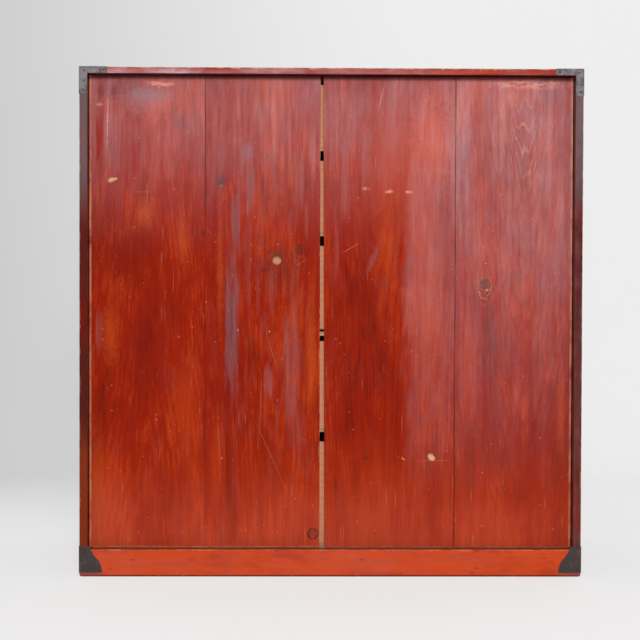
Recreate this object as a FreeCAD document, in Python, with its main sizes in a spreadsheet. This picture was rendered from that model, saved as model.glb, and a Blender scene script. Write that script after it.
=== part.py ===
"""Tansu chest: a finger-jointed case of boards on a base frame, five full-width drawers that grow
towards the floor, a back of two recessed edge-joined panels, and wrought-iron corners and pulls.

Millimetres. +Z is up, the floor is z = 0, the drawers open towards -Y and the panelled back faces +Y.
The origin lies on the floor, in the middle of the overall width and depth.
"""
import FreeCAD, Part
import os
import re

SIZES = (
    # The case
    ("case_width", 970, "outside width of the case"),
    ("case_depth", 424, "front edge to rear edge of the case"),
    ("case_height", 982, "floor to the top of the case"),
    ("side_thickness", 22, "side boards"),
    ("top_thickness", 21, "top board"),
    ("finger_count", 7, "fingers and sockets along each top corner"),
    ("tier_1_share", 135, "parts of the height between base and top board that the top tier takes"),
    ("tier_2_share", 166, "parts of that height for the second tier, floor to floor"),
    ("tier_3_share", 182, "parts of that height for the third tier"),
    ("tier_4_share", 201, "parts of that height for the fourth tier"),
    ("tier_5_share", 224, "parts of that height for the bottom tier"),
    # The base frame
    ("base_height", 53, "base rails, floor to top"),
    ("base_rail_thickness", 32, "base rails, outside to inside"),
    ("base_foot_ease", 3, "bevel along the lower outside edges of the base frame"),
    ("base_tenon_length", 16, "side base rail into front or back base rail"),
    ("base_tenon_shoulder", 9, "wood left round that tenon"),
    ("bottom_thickness", 14, "bottom board, let in flush with the base rails"),
    # The back
    ("back_lip", 15, "side board left outside the panel rebate"),
    ("top_lip", 12, "top board left above the panel rebate"),
    ("panel_recess", 22, "rear edge of the case to the panel's face"),
    ("panel_thickness", 9, "back panels"),
    ("panel_clearance", 0.8, "round the panels in their rebate"),
    ("gap_centre", 18, "shrinkage gap, off the middle line"),
    ("gap_top", 6, "shrinkage gap at the top"),
    ("gap_bottom", 10, "shrinkage gap at the bottom"),
    ("right_joint", 245, "glue joint of the right panel, from the middle line"),
    ("left_joint", 241, "glue joint of the left panel, from the middle line"),
    ("knot_hole_radius", 11, "hole left by a lost knot"),
    ("knot_hole_x", 105.5, "that hole, from the middle line"),
    ("knot_hole_height", 615, "that hole, above the floor"),
    # Rails, runners and the dust board
    ("rail_height", 13, "front rails between tiers"),
    ("mid_rail_height", 17, "the stouter rail above the fourth tier"),
    ("rail_depth", 36, "front rails, front to back"),
    ("rail_tenon_length", 9, "rail into side board"),
    ("rail_tenon_shoulder", 7, "rail left in front of and behind its tenon"),
    ("runner_width", 16, "runners along the side boards"),
    ("dust_thickness", 8, "dust board behind the stouter rail"),
    ("dust_drop", 4, "drawer floor to dust board"),
    ("dust_groove", 7, "groove of the dust board in the side boards"),
    # Drawers
    ("drawer_side_clearance", 1.2, "each end of a drawer"),
    ("drawer_top_clearance", 1, "above a drawer front"),
    ("drawer_slide_clearance", 0.3, "between a drawer and what it slides on"),
    ("drawer_rear_clearance", 6, "between a drawer and the back panels"),
    ("drawer_front_thickness", 20, "drawer fronts"),
    ("drawer_front_lap", 9, "drawer front left in front of the sides' rebate"),
    ("drawer_front_ease", 1.2, "bevel round the face of a drawer front"),
    ("drawer_side_thickness", 11, "drawer sides"),
    ("drawer_back_thickness", 11, "drawer backs"),
    ("drawer_bottom_thickness", 6.5, "drawer bottoms"),
    ("drawer_side_drop", 2, "top of the front to the top of the sides"),
    ("drawer_back_drop", 5, "top of the front to the top of the back"),
    ("drawer_finger_count", 5, "fingers and sockets up each rear corner of a drawer"),
    # Pulls
    ("pull_offset", 250, "middle line to the middle of a pull"),
    ("pull_span", 92, "between the two eyes of a pull"),
    ("pull_lift", 14, "pivot above the middle of the drawer front"),
    ("pivot_reach", 10, "pivot in front of the drawer front"),
    ("eye_radius", 5, "cotter eye, outside"),
    ("eye_width", 5, "cotter eye, along the pivot"),
    ("pin_radius", 2.4, "turned-in pins of the bail"),
    ("pin_clearance", 0.08, "between a pin and its eye"),
    ("pin_overhang", 2, "pin past the inside of its eye"),
    ("shank_width", 4, "cotter shank, across"),
    ("shank_clearance", 0.2, "round a shank in the wood"),
    ("clinch_length", 11, "cotter leg bent over inside, each way"),
    ("clinch_thickness", 1.6, "cotter leg bent over inside"),
    ("rosette_radius", 9, "domed washer under a cotter eye, on the wood"),
    ("rosette_crown_radius", 5.6, "domed washer at its crown"),
    ("rosette_thickness", 2.4, "domed washer under a cotter eye"),
    ("ball_radius", 3.9, "knob at the top of a bail's leg"),
    ("ball_gap", 0.5, "between that knob and the eye"),
    ("leg_top_radius", 2.5, "bail leg below its knob"),
    ("leg_foot_radius", 3.3, "bail leg at its bend"),
    ("grip_radius", 4.6, "bail at the middle of its grip"),
    ("bend_radius", 11, "bail bend, on its centre line"),
    ("bail_drop", 40, "pivot to the middle of the grip"),
    # Locks
    ("lock_radius", 29, "round lock plates"),
    ("lock_thickness", 1.4, "lock plates"),
    ("lock_bead_radius", 1.1, "half-round bead near the rim of a lock plate"),
    ("lock_bead_inset", 3.2, "rim of a lock plate to the middle of its bead"),
    ("lock_boss_radius", 15, "boss round the keyhole, at its foot"),
    ("lock_boss_crown_radius", 12.5, "boss round the keyhole, at its crown"),
    ("lock_boss_rise", 1.3, "boss round the keyhole, above the plate"),
    ("lock_margin", 7, "lock plate below the top of its drawer front"),
    ("keyhole_radius", 3.2, "round part of the keyhole"),
    ("keyhole_slot_width", 3, "slot of the keyhole"),
    ("keyhole_slot_drop", 11, "keyhole centre to the foot of its slot"),
    ("lock_case_width", 54, "iron case behind the drawer front"),
    ("lock_case_height", 40, "iron case behind the drawer front"),
    ("lock_case_depth", 11, "iron case behind the drawer front"),
    # Corner irons
    ("iron_thickness", 1.3, "sheet of the corner irons"),
    ("top_iron_arm", 53, "arms of the top corner irons"),
    ("top_iron_wrap", 34, "top corner irons along the top and side faces"),
    ("foot_iron_width", 44, "bottom corner irons at their foot"),
    ("foot_iron_neck", 19, "bottom corner irons at their top"),
    ("foot_iron_height", 52, "bottom corner irons"),
    ("foot_iron_lift", 8, "bottom corner irons above the floor"),
    ("cut_overrun", 5, "how far a cutting tool runs past what it cuts"),
)

FOOT_IRON_WAIST_SHARES = (0.72, 0.46)   # where the ogee turns over, of the spread and of the height
FOOT_IRON_LOWER_SHARES = (0.93, 0.22)   # a point on the lower, swelling curve
FOOT_IRON_UPPER_SHARES = (0.30, 0.70)   # a point on the upper, hollow curve

# The front rail under each tier, and the size that gives the rail's height.
# The bottom drawer slides on the base.
TIER_RAILS = {
    "tier_1_share": ("drawer_rail_1", "rail_height"),
    "tier_2_share": ("drawer_rail_2", "rail_height"),
    "tier_3_share": ("mid_rail", "mid_rail_height"),
    "tier_4_share": ("drawer_rail_4", "rail_height"),
    "tier_5_share": ("", "0"),
}
DUST_RAIL = "mid_rail"

RIGHT, LEFT = "right", "left"
SIDES = (RIGHT, LEFT)
OTHER = {RIGHT: LEFT, LEFT: RIGHT}
SIGN = {RIGHT: "+", LEFT: "-"}
WAY = {RIGHT: FreeCAD.Vector(1, 0, 0), LEFT: FreeCAD.Vector(-1, 0, 0)}
BACKWARD, FORWARD = FreeCAD.Vector(0, 1, 0), FreeCAD.Vector(0, -1, 0)
UP, DOWN = FreeCAD.Vector(0, 0, 1), FreeCAD.Vector(0, 0, -1)
QUARTER_TURN = "90 deg"

doc = FreeCAD.newDocument("TansuChest")
sheet = doc.addObject("Spreadsheet::Sheet", "Sizes")
for row, (alias, number, words) in enumerate(SIZES, start=1):
    sheet.set(f"A{row}", str(number))
    sheet.setAlias(f"A{row}", alias)
    sheet.set(f"B{row}", words)
doc.recompute()

ALIAS = re.compile(r"\b(" + "|".join(alias for alias, _, _ in SIZES) + r")\b")
nodes = {}


# Helpers

def size(alias):
    """The number that a cell of the sheet holds."""
    return float(sheet.get(alias))


def bind(thing, **formulas):
    """Ties properties to formulas in the sheet's aliases. Two underscores stand for a dot."""
    for prop, formula in formulas.items():
        thing.setExpression(prop.replace("__", "."), ALIAS.sub(r"Sizes.\1", str(formula)))
    return thing


def put(thing, x, y, z):
    """Ties the place of a shape's own origin."""
    return bind(thing, Placement__Base__x=x, Placement__Base__y=y, Placement__Base__z=z)


def block(name, x, y, z):
    """A box between pairs of formulas."""
    made = doc.addObject("Part::Box", name)
    bind(made, Length=f"({x[1]}) - ({x[0]})", Width=f"({y[1]}) - ({y[0]})", Height=f"({z[1]}) - ({z[0]})")
    return put(made, x[0], y[0], z[0])


def aimed(thing, way):
    """Turns a shape made along +Z to run another way."""
    thing.Placement = FreeCAD.Placement(FreeCAD.Vector(), FreeCAD.Rotation(UP, way))
    return thing


def laid(thing, x_way, y_way):
    """Turns a shape so that its own X and Y run the given ways."""
    turn = FreeCAD.Rotation(x_way, y_way, x_way.cross(y_way), "XYZ")
    thing.Placement = FreeCAD.Placement(FreeCAD.Vector(), turn)
    return thing


def cylinder(name, radius, length):
    return bind(doc.addObject("Part::Cylinder", name), Radius=radius, Height=length)


def cone(name, first_radius, last_radius, length):
    return bind(doc.addObject("Part::Cone", name), Radius1=first_radius, Radius2=last_radius, Height=length)


def fuse(name, things):
    made = doc.addObject("Part::MultiFuse", name)
    made.Shapes = things
    made.Refine = True
    return made


def cut(name, base, tools):
    """base less every tool."""
    made = doc.addObject("Part::Cut", name)
    made.Base = base
    made.Tool = tools[0] if len(tools) == 1 else fuse(name + "_tools", tools)
    made.Refine = True
    return made


def group(name, things):
    """Separate solids that share a node."""
    made = doc.addObject("Part::Compound", name)
    made.Links = things
    return made


def node(label, thing):
    thing.Label = label
    nodes[label] = thing
    return thing


def sided(side, near, far):
    """A span along X from near to far of the middle line, on one side of it."""
    return (near, far) if side == RIGHT else (f"-({far})", f"-({near})")


class Tier:
    """One tier: the name of its drawer, its floor and ceiling, and the front rail under its drawer."""

    def __init__(self, drawer, floor, ceiling, rail, rail_height):
        self.drawer, self.floor, self.ceiling = drawer, floor, ceiling
        self.rail, self.rail_z = rail, (f"({floor} - {rail_height})", floor)


def stack_tiers():
    """The tiers, from the top board down to the base."""
    stacked = []
    floor, ceiling = TOP_UNDERSIDE, TOP_UNDERSIDE
    part = f"(({TOP_UNDERSIDE} - base_height) / ({' + '.join(TIER_RAILS)}))"
    for number, (share, (rail, rail_height)) in enumerate(TIER_RAILS.items(), start=1):
        floor = f"({floor} - {part} * {share})"
        stacked.append(Tier(f"drawer_{number}", floor, ceiling, rail, rail_height))
        ceiling = stacked[-1].rail_z[0]
    return stacked


# Places that the pieces share, as formulas

HALF = "(case_width / 2)"
INNER = "(case_width / 2 - side_thickness)"
FRONT = "((pivot_reach + eye_radius - iron_thickness - case_depth) / 2)"
REAR = f"({FRONT} + case_depth)"
PANEL_FACE = f"({REAR} - panel_recess)"
PANEL_INSIDE = f"({REAR} - panel_recess - panel_thickness)"
RAIL_BACK = f"({FRONT} + rail_depth)"
TOP = "case_height"
TOP_UNDERSIDE = "(case_height - top_thickness)"
TIERS = stack_tiers()
RAILED_TIERS = [tier for tier in TIERS if tier.rail]
DUST_FLOOR = next(tier.floor for tier in TIERS if tier.rail == DUST_RAIL)
DUST_TOP = f"({DUST_FLOOR} - dust_drop)"
DUST_LOW = f"({DUST_TOP} - dust_thickness)"
FINGER = "(case_depth / finger_count)"


# The case

def panel_rebate(name):
    """The space cut out of the case's rear edges for the back panels."""
    half = f"({HALF} - back_lip)"
    return block(name, (f"-{half}", half), (PANEL_INSIDE, f"{REAR} + cut_overrun"),
                 ("base_height - cut_overrun", f"{TOP} - top_lip"))


def finger_slots(name, x, z, first):
    """Every second segment along a top corner."""
    slots = []
    for segment in range(first, int(size("finger_count")), 2):
        y = (f"{FRONT} + {FINGER} * {segment}", f"{FRONT} + {FINGER} * {segment + 1}")
        slots.append(block(f"{name}_{segment}", x, y, z))
    return slots


def rail_tenon_y():
    return (f"{FRONT} + rail_tenon_shoulder", f"{RAIL_BACK} - rail_tenon_shoulder")


def make_side(side):
    name = f"{side}_side"
    board = block(name + "_board", sided(side, INNER, HALF), (FRONT, REAR), ("base_height", TOP))
    through = sided(side, f"{INNER} - cut_overrun", f"{HALF} + cut_overrun")
    tools = finger_slots(name + "_socket", through, (TOP_UNDERSIDE, f"{TOP} + cut_overrun"), 0)
    tools.append(panel_rebate(name + "_rebate"))
    mortise_x = sided(side, f"{INNER} - cut_overrun", f"{INNER} + rail_tenon_length")
    for tier in RAILED_TIERS:
        tools.append(block(f"{name}_mortise_{tier.rail}", mortise_x, rail_tenon_y(), tier.rail_z))
    groove_x = sided(side, f"{INNER} - cut_overrun", f"{INNER} + dust_groove")
    tools.append(block(name + "_groove", groove_x, (RAIL_BACK, PANEL_INSIDE), (DUST_LOW, DUST_TOP)))
    node(name, cut(name + "_cut", board, tools))


def make_top():
    board = block("top_plain", (f"-{HALF}", HALF), (FRONT, REAR), (TOP_UNDERSIDE, TOP))
    tools = [panel_rebate("top_rebate")]
    z = (f"{TOP_UNDERSIDE} - cut_overrun", f"{TOP} + cut_overrun")
    for side in SIDES:
        x = sided(side, INNER, f"{HALF} + cut_overrun")
        tools += finger_slots(f"top_notch_{side}", x, z, 1)
    node("top_board", cut("top_cut", board, tools))


def make_front_rails():
    for tier in RAILED_TIERS:
        name = tier.rail
        bar = block(name + "_bar", (f"-{INNER}", INNER), (FRONT, RAIL_BACK), tier.rail_z)
        reach = f"({INNER} + rail_tenon_length)"
        tenons = block(name + "_tenons", (f"-{reach}", reach), rail_tenon_y(), tier.rail_z)
        node(name, fuse(name + "_fused", [bar, tenons]))


def make_dust_board():
    reach = f"({INNER} + dust_groove)"
    node("dust_board", block("dust_plain", (f"-{reach}", reach), (RAIL_BACK, PANEL_INSIDE),
                             (DUST_LOW, DUST_TOP)))


def make_runners(side):
    """Strips along a side board, level with the front rails. The one above the dust board lies on it."""
    runners = []
    name = f"{side}_runners"
    x = sided(side, f"{INNER} - runner_width", INNER)
    for tier in RAILED_TIERS:
        z = (DUST_TOP, tier.floor) if tier.rail == DUST_RAIL else tier.rail_z
        runners.append(block(f"{name}_{tier.rail}", x, (RAIL_BACK, PANEL_INSIDE), z))
    node(name, group(name + "_group", runners))


# The base frame

def bottom_seat(name):
    """The space that the bottom board takes out of the base rails."""
    return block(name, (f"-{INNER}", INNER), (f"{FRONT} + side_thickness", f"{REAR} - side_thickness"),
                 ("base_height - bottom_thickness", "base_height + cut_overrun"))


def base_tenon(name, side, y):
    x = sided(side, f"{HALF} - base_rail_thickness + base_tenon_shoulder", f"{HALF} - base_tenon_shoulder")
    z = ("base_tenon_shoulder", "base_height - bottom_thickness - base_tenon_shoulder")
    return block(name, x, y, z)


def base_bar(name, x, y, foot_x, foot_y):
    """A base rail bevelled at its foot. foot_x and foot_y are its spans on the floor."""
    bar = block(name + "_bar", x, y, ("base_foot_ease", "base_height"))
    foot = aimed(doc.addObject("Part::Wedge", name + "_foot"), FORWARD)
    bind(foot, Ymin=0, Ymax="base_foot_ease",
         Xmin=foot_x[0], Xmax=foot_x[1], X2min=x[0], X2max=x[1],
         Zmin=f"-({foot_y[1]})", Zmax=f"-({foot_y[0]})", Z2min=f"-({y[1]})", Z2max=f"-({y[0]})")
    return fuse(name + "_whole", [bar, foot])


def make_base():
    inside = {"front": f"({FRONT} + base_rail_thickness)", "back": f"({REAR} - base_rail_thickness)"}
    spans = {"front": (FRONT, inside["front"]), "back": (inside["back"], REAR)}
    feet = {
        "front": (f"{FRONT} + base_foot_ease", inside["front"]),
        "back": (inside["back"], f"{REAR} - base_foot_ease"),
    }
    mortises = {
        "front": (f"{inside['front']} - base_tenon_length", f"{inside['front']} + cut_overrun"),
        "back": (f"{inside['back']} - cut_overrun", f"{inside['back']} + base_tenon_length"),
    }
    for end, span in spans.items():
        name = f"base_{end}_rail"
        foot_x = (f"base_foot_ease - {HALF}", f"{HALF} - base_foot_ease")
        bar = base_bar(name, (f"-{HALF}", HALF), span, foot_x, feet[end])
        tools = [bottom_seat(name + "_seat")]
        for side in SIDES:
            tools.append(base_tenon(f"{name}_mortise_{side}", side, mortises[end]))
        node(name, cut(name + "_cut", bar, tools))
    for side in SIDES:
        name = f"base_{side}_rail"
        x = sided(side, f"{HALF} - base_rail_thickness", HALF)
        foot_x = sided(side, f"{HALF} - base_rail_thickness", f"{HALF} - base_foot_ease")
        length = (inside["front"], inside["back"])
        bar = base_bar(name, x, length, foot_x, length)
        reach = (f"{inside['front']} - base_tenon_length", f"{inside['back']} + base_tenon_length")
        tenons = base_tenon(name + "_tenons", side, reach)
        node(name, cut(name + "_cut", fuse(name + "_fused", [bar, tenons]), [bottom_seat(name + "_seat")]))
    node("bottom_board", block("bottom_plain", (f"-{INNER}", INNER),
                               (f"{FRONT} + side_thickness", f"{REAR} - side_thickness"),
                               ("base_height - bottom_thickness", "base_height")))


# The back

def tapered_board(name, x_low, x_high, z):
    """A back board whose edges are given as pairs: place at the bottom and place at the top."""
    made = aimed(doc.addObject("Part::Wedge", name), FORWARD)
    bind(made, Xmin=x_low[0], X2min=x_low[1], Xmax=x_high[0], X2max=x_high[1], Ymin=z[0], Ymax=z[1],
         Zmin=f"-{PANEL_FACE}", Zmax=f"-{PANEL_INSIDE}", Z2min=f"-{PANEL_FACE}", Z2max=f"-{PANEL_INSIDE}")
    return made


def make_back_panels():
    """Two panels of two edge-joined boards each, standing on the back base rail.
    The boards have shrunk, so that a gap is left between the panels. It widens towards the floor."""
    z = ("base_height + panel_clearance", f"{TOP} - top_lip - panel_clearance")
    edge = f"({HALF} - back_lip - panel_clearance)"
    straight = "(gap_centre + gap_top / 2 + panel_clearance)"
    slanted = (f"({straight} - gap_bottom)", f"({straight} - gap_top)")
    outer = tapered_board("right_outer_board", ("right_joint", "right_joint"), (edge, edge), z)
    inner = tapered_board("right_inner_plain", (straight, straight), ("right_joint", "right_joint"), z)
    knot = aimed(cylinder("knot_hole", "knot_hole_radius", "panel_thickness + 2 * cut_overrun"), BACKWARD)
    put(knot, "knot_hole_x", f"{PANEL_INSIDE} - cut_overrun", "knot_hole_height")
    node("back_panel_right", group("right_boards", [outer, cut("right_inner_board", inner, [knot])]))
    outer = tapered_board("left_outer_board", (f"-{edge}", f"-{edge}"), ("-left_joint", "-left_joint"), z)
    inner = tapered_board("left_inner_board", ("-left_joint", "-left_joint"), slanted, z)
    node("back_panel_left", group("left_boards", [outer, inner]))


# Drawers

DRAWER_HALF = f"({INNER} - drawer_side_clearance)"
DRAWER_INNER = f"({INNER} - drawer_side_clearance - drawer_side_thickness)"
DRAWER_REAR = f"({PANEL_INSIDE} - drawer_rear_clearance)"
DRAWER_BACK_FACE = f"({DRAWER_REAR} - drawer_back_thickness)"
FRONT_INSIDE = f"({FRONT} + drawer_front_thickness)"
FRONT_LAP = f"({FRONT} + drawer_front_lap)"
PIVOT_Y = f"({FRONT} - pivot_reach)"


class Drawer:
    """The heights of one tier's drawer."""

    def __init__(self, tier):
        self.name = tier.drawer
        self.low = f"({tier.floor} + drawer_slide_clearance)"
        self.inside = f"({self.low} + drawer_bottom_thickness)"
        self.high = f"({tier.ceiling} - drawer_top_clearance)"
        self.side_top = f"({self.high} - drawer_side_drop)"
        self.back_top = f"({self.high} - drawer_back_drop)"
        self.pivot = f"(({self.low} + {self.high}) / 2 + pull_lift)"
        self.lock = f"({self.high} - lock_margin - lock_radius)"


def rear_fingers(drawer, first, x, y):
    """Every second segment up a rear corner of a drawer. The last one runs to the top of the sides."""
    count = int(size("drawer_finger_count"))
    step = f"(({drawer.back_top} - {drawer.inside}) / drawer_finger_count)"
    fingers = []
    for segment in range(first, count, 2):
        low = f"{drawer.inside} + {step} * {segment}"
        high = f"{drawer.inside} + {step} * {segment + 1}"
        fingers.append((x, y, (low, high)))
    return fingers


def front_board(drawer):
    """A drawer front whose face is bevelled all round."""
    name = drawer.name + "_front"
    bevel_back = f"({FRONT} + drawer_front_ease)"
    board = block(name + "_board", (f"-{DRAWER_HALF}", DRAWER_HALF), (bevel_back, FRONT_INSIDE),
                  (drawer.low, drawer.high))
    face = doc.addObject("Part::Wedge", name + "_face")
    bind(face, Ymin=FRONT, Ymax=bevel_back,
         Xmin=f"drawer_front_ease - {DRAWER_HALF}", Xmax=f"{DRAWER_HALF} - drawer_front_ease",
         Zmin=f"{drawer.low} + drawer_front_ease", Zmax=f"{drawer.high} - drawer_front_ease",
         X2min=f"-{DRAWER_HALF}", X2max=DRAWER_HALF, Z2min=drawer.low, Z2max=drawer.high)
    return fuse(name + "_fused", [board, face])


def make_drawer_box(drawer):
    name = drawer.name
    whole = (f"-{DRAWER_HALF}", DRAWER_HALF)
    lap_y = (FRONT_LAP, f"{FRONT_INSIDE} + cut_overrun")
    over = f"({DRAWER_HALF} + cut_overrun)"
    tools = [block(name + "_bottom_rebate", (f"-{over}", over), lap_y,
                   (f"{drawer.low} - cut_overrun", drawer.inside))]
    for side in SIDES:
        x = sided(side, DRAWER_INNER, over)
        z = (drawer.inside, f"{drawer.high} + cut_overrun")
        tools.append(block(f"{name}_rebate_{side}", x, lap_y, z))
    tools += shank_holes(drawer) + keyhole(drawer, name + "_front", FRONT, FRONT_INSIDE)
    node(name + "_front", cut(name + "_front_cut", front_board(drawer), tools))

    sides = []
    corner_y = (DRAWER_BACK_FACE, DRAWER_REAR)
    for side in SIDES:
        x = sided(side, DRAWER_INNER, DRAWER_HALF)
        board = block(f"{name}_side_{side}", x, (FRONT_LAP, DRAWER_REAR), (drawer.inside, drawer.side_top))
        open_x = sided(side, f"{DRAWER_INNER} - cut_overrun", over)
        open_y = (DRAWER_BACK_FACE, f"{DRAWER_REAR} + cut_overrun")
        sockets = [block(f"{name}_socket", *span) for span in rear_fingers(drawer, 0, open_x, open_y)]
        sides.append(cut(f"{name}_side_cut", board, sockets))
    node(name + "_sides", group(name + "_side_pair", sides))

    back = [block(name + "_back_plain", (f"-{DRAWER_INNER}", DRAWER_INNER), corner_y,
                  (drawer.inside, drawer.back_top))]
    for side in SIDES:
        x = sided(side, DRAWER_INNER, DRAWER_HALF)
        back += [block(f"{name}_finger", *span) for span in rear_fingers(drawer, 0, x, corner_y)]
    node(name + "_back", fuse(name + "_back_fused", back))
    node(name + "_bottom", block(name + "_bottom_plain", whole, (FRONT_LAP, DRAWER_REAR),
                                 (drawer.low, drawer.inside)))


# Pulls: a bail whose turned-in pins sit in the eyes of two cotters

def pull_x(side):
    return f"(0 {SIGN[side]} pull_offset)"


def eye_places():
    """The middle of each cotter eye of a drawer."""
    return [f"({pull_x(side)} {SIGN[way]} pull_span / 2)" for side in SIDES for way in SIDES]


def shank_holes(drawer):
    holes = []
    half = "(shank_width / 2 + shank_clearance)"
    for x in eye_places():
        holes.append(block(drawer.name + "_shank_hole", (f"{x} - {half}", f"{x} + {half}"),
                           (f"{FRONT} - cut_overrun", f"{FRONT_INSIDE} + cut_overrun"),
                           (f"{drawer.pivot} - {half}", f"{drawer.pivot} + {half}")))
    return holes


def make_cotter(drawer, x):
    """An eye round the pivot, a shank through the wood, and legs bent over inside."""
    name = drawer.name + "_cotter"
    x_span = (f"{x} - shank_width / 2", f"{x} + shank_width / 2")
    shank_z = (f"{drawer.pivot} - shank_width / 2", f"{drawer.pivot} + shank_width / 2")
    clinch_z = (f"{drawer.pivot} - clinch_length", f"{drawer.pivot} + clinch_length")
    inside = f"({FRONT_INSIDE} + clinch_thickness)"
    eye = aimed(cylinder(name + "_eye", "eye_radius", "eye_width"), WAY[RIGHT])
    put(eye, f"{x} - eye_width / 2", PIVOT_Y, drawer.pivot)
    shank = block(name + "_shank", x_span, (PIVOT_Y, inside), shank_z)
    clinch = block(name + "_clinch", x_span, (FRONT_INSIDE, inside), clinch_z)
    bore = cylinder(name + "_bore", "pin_radius + pin_clearance", "eye_width + 2 * cut_overrun")
    aimed(bore, WAY[RIGHT])
    put(bore, f"{x} - eye_width / 2 - cut_overrun", PIVOT_Y, drawer.pivot)
    return cut(name, fuse(name + "_fused", [eye, shank, clinch]), [bore])


def make_rosette(drawer, x):
    """A domed washer between the cotter's eye and the wood."""
    name = drawer.name + "_rosette"
    half = "(shank_width / 2 + shank_clearance)"
    dome = cone(name + "_dome", "rosette_radius", "rosette_crown_radius", "rosette_thickness")
    aimed(dome, FORWARD)
    put(dome, x, FRONT, drawer.pivot)
    hole = block(name + "_hole", (f"{x} - {half}", f"{x} + {half}"),
                 (f"{FRONT} - rosette_thickness - cut_overrun", f"{FRONT} + cut_overrun"),
                 (f"{drawer.pivot} - {half}", f"{drawer.pivot} + {half}"))
    return cut(name, dome, [hole])


def make_bail(drawer, side):
    """Half a grip, a bend, a leg, a knob and a pin to each side of the pull's middle."""
    name = f"{drawer.name}_{side}_bail"
    middle = pull_x(side)
    reach = "(pull_span / 2 + eye_width / 2 + ball_gap + ball_radius)"
    grip_z = f"({drawer.pivot} - bail_drop)"
    bend_z = f"({grip_z} + bend_radius)"
    pieces = []
    for way in SIDES:
        leg_x = f"({middle} {SIGN[way]} {reach})"
        across = WAY[way]
        grip = cone(name + "_grip", "grip_radius", "leg_foot_radius", f"{reach} - bend_radius")
        aimed(grip, across)
        bend = doc.addObject("Part::Torus", name + "_bend")
        bind(bend, Radius1="bend_radius", Radius2="leg_foot_radius")
        bend.Angle3 = QUARTER_TURN
        laid(bend, across, DOWN)
        leg = cone(name + "_leg", "leg_foot_radius", "leg_top_radius", "bail_drop - bend_radius")
        ball = bind(doc.addObject("Part::Sphere", name + "_ball"), Radius="ball_radius")
        pin_length = "ball_radius + ball_gap + eye_width + pin_overhang"
        pin = aimed(cylinder(name + "_pin", "pin_radius", pin_length), WAY[OTHER[way]])
        pieces += [
            put(grip, middle, PIVOT_Y, grip_z),
            put(bend, f"{leg_x} {SIGN[OTHER[way]]} bend_radius", PIVOT_Y, bend_z),
            put(leg, leg_x, PIVOT_Y, bend_z),
            put(ball, leg_x, PIVOT_Y, drawer.pivot),
            put(pin, leg_x, PIVOT_Y, drawer.pivot),
        ]
    node(name, fuse(name + "_fused", pieces))


def make_pulls(drawer):
    things = [make_cotter(drawer, x) for x in eye_places()]
    things += [make_rosette(drawer, x) for x in eye_places()]
    node(drawer.name + "_cotters", group(drawer.name + "_cotter_group", things))
    for side in SIDES:
        make_bail(drawer, side)


# Locks: a round plate with a bead and a boss outside, and a closed iron case inside

def keyhole(drawer, name, y_low, y_high):
    """Tools for a keyhole: a round hole and the slot below it."""
    depth = f"({y_high}) - ({y_low}) + 2 * cut_overrun"
    hole = aimed(cylinder(name + "_keyhole", "keyhole_radius", depth), BACKWARD)
    put(hole, 0, f"({y_low}) - cut_overrun", drawer.lock)
    slot = block(name + "_keyslot", ("-keyhole_slot_width / 2", "keyhole_slot_width / 2"),
                 (f"({y_low}) - cut_overrun", f"({y_high}) + cut_overrun"),
                 (f"{drawer.lock} - keyhole_slot_drop", drawer.lock))
    return [hole, slot]


def make_lock(drawer):
    name = drawer.name + "_lock"
    face = f"({FRONT} - lock_thickness)"
    disc = aimed(cylinder(name + "_disc", "lock_radius", "lock_thickness"), FORWARD)
    put(disc, 0, FRONT, drawer.lock)
    bead = aimed(doc.addObject("Part::Torus", name + "_bead"), FORWARD)
    bind(bead, Radius1="lock_radius - lock_bead_inset", Radius2="lock_bead_radius")
    put(bead, 0, face, drawer.lock)
    boss = cone(name + "_boss", "lock_boss_radius", "lock_boss_crown_radius", "lock_boss_rise")
    aimed(boss, FORWARD)
    put(boss, 0, face, drawer.lock)
    solid = fuse(name + "_solid", [disc, bead, boss])
    plate = cut(name + "_plate", solid, keyhole(drawer, name, f"{face} - lock_boss_rise", FRONT))
    case = block(name + "_case", ("-lock_case_width / 2", "lock_case_width / 2"),
                 (FRONT_INSIDE, f"{FRONT_INSIDE} + lock_case_depth"),
                 (f"{drawer.lock} - lock_case_height / 2", f"{drawer.lock} + lock_case_height / 2"))
    node(name, group(name + "_group", [plate, case]))


# Corner irons

def top_iron(end, side):
    """Sheet folded over a top corner: an L on the boards' edges, and flaps on the top and the side."""
    name = f"top_iron_{end}_{side}"
    at_front = end == "front"
    past = f"({FRONT} - iron_thickness)" if at_front else f"({REAR} + iron_thickness)"
    wrap = f"({FRONT} + top_iron_wrap)" if at_front else f"({REAR} - top_iron_wrap)"
    y = (past, wrap) if at_front else (wrap, past)
    x = sided(side, f"{HALF} - top_iron_arm", f"{HALF} + iron_thickness")
    z = (f"{TOP} - top_iron_arm", f"{TOP} + iron_thickness")
    corner = block(name + "_corner", x, y, z)
    case = block(name + "_case", sided(side, f"{HALF} - top_iron_arm - cut_overrun", HALF),
                 (FRONT, REAR), (f"{TOP} - top_iron_arm - cut_overrun", TOP))
    side_width = "side_thickness" if at_front else "back_lip"
    top_width = "top_thickness" if at_front else "top_lip"
    window_x = sided(side, f"{HALF} - top_iron_arm - cut_overrun", f"{HALF} - {side_width}")
    window = block(name + "_window", window_x, (f"{FRONT} - cut_overrun", f"{REAR} + cut_overrun"),
                   (f"{TOP} - top_iron_arm - cut_overrun", f"{TOP} - {top_width}"))
    return cut(name, corner, [case, window])


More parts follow.
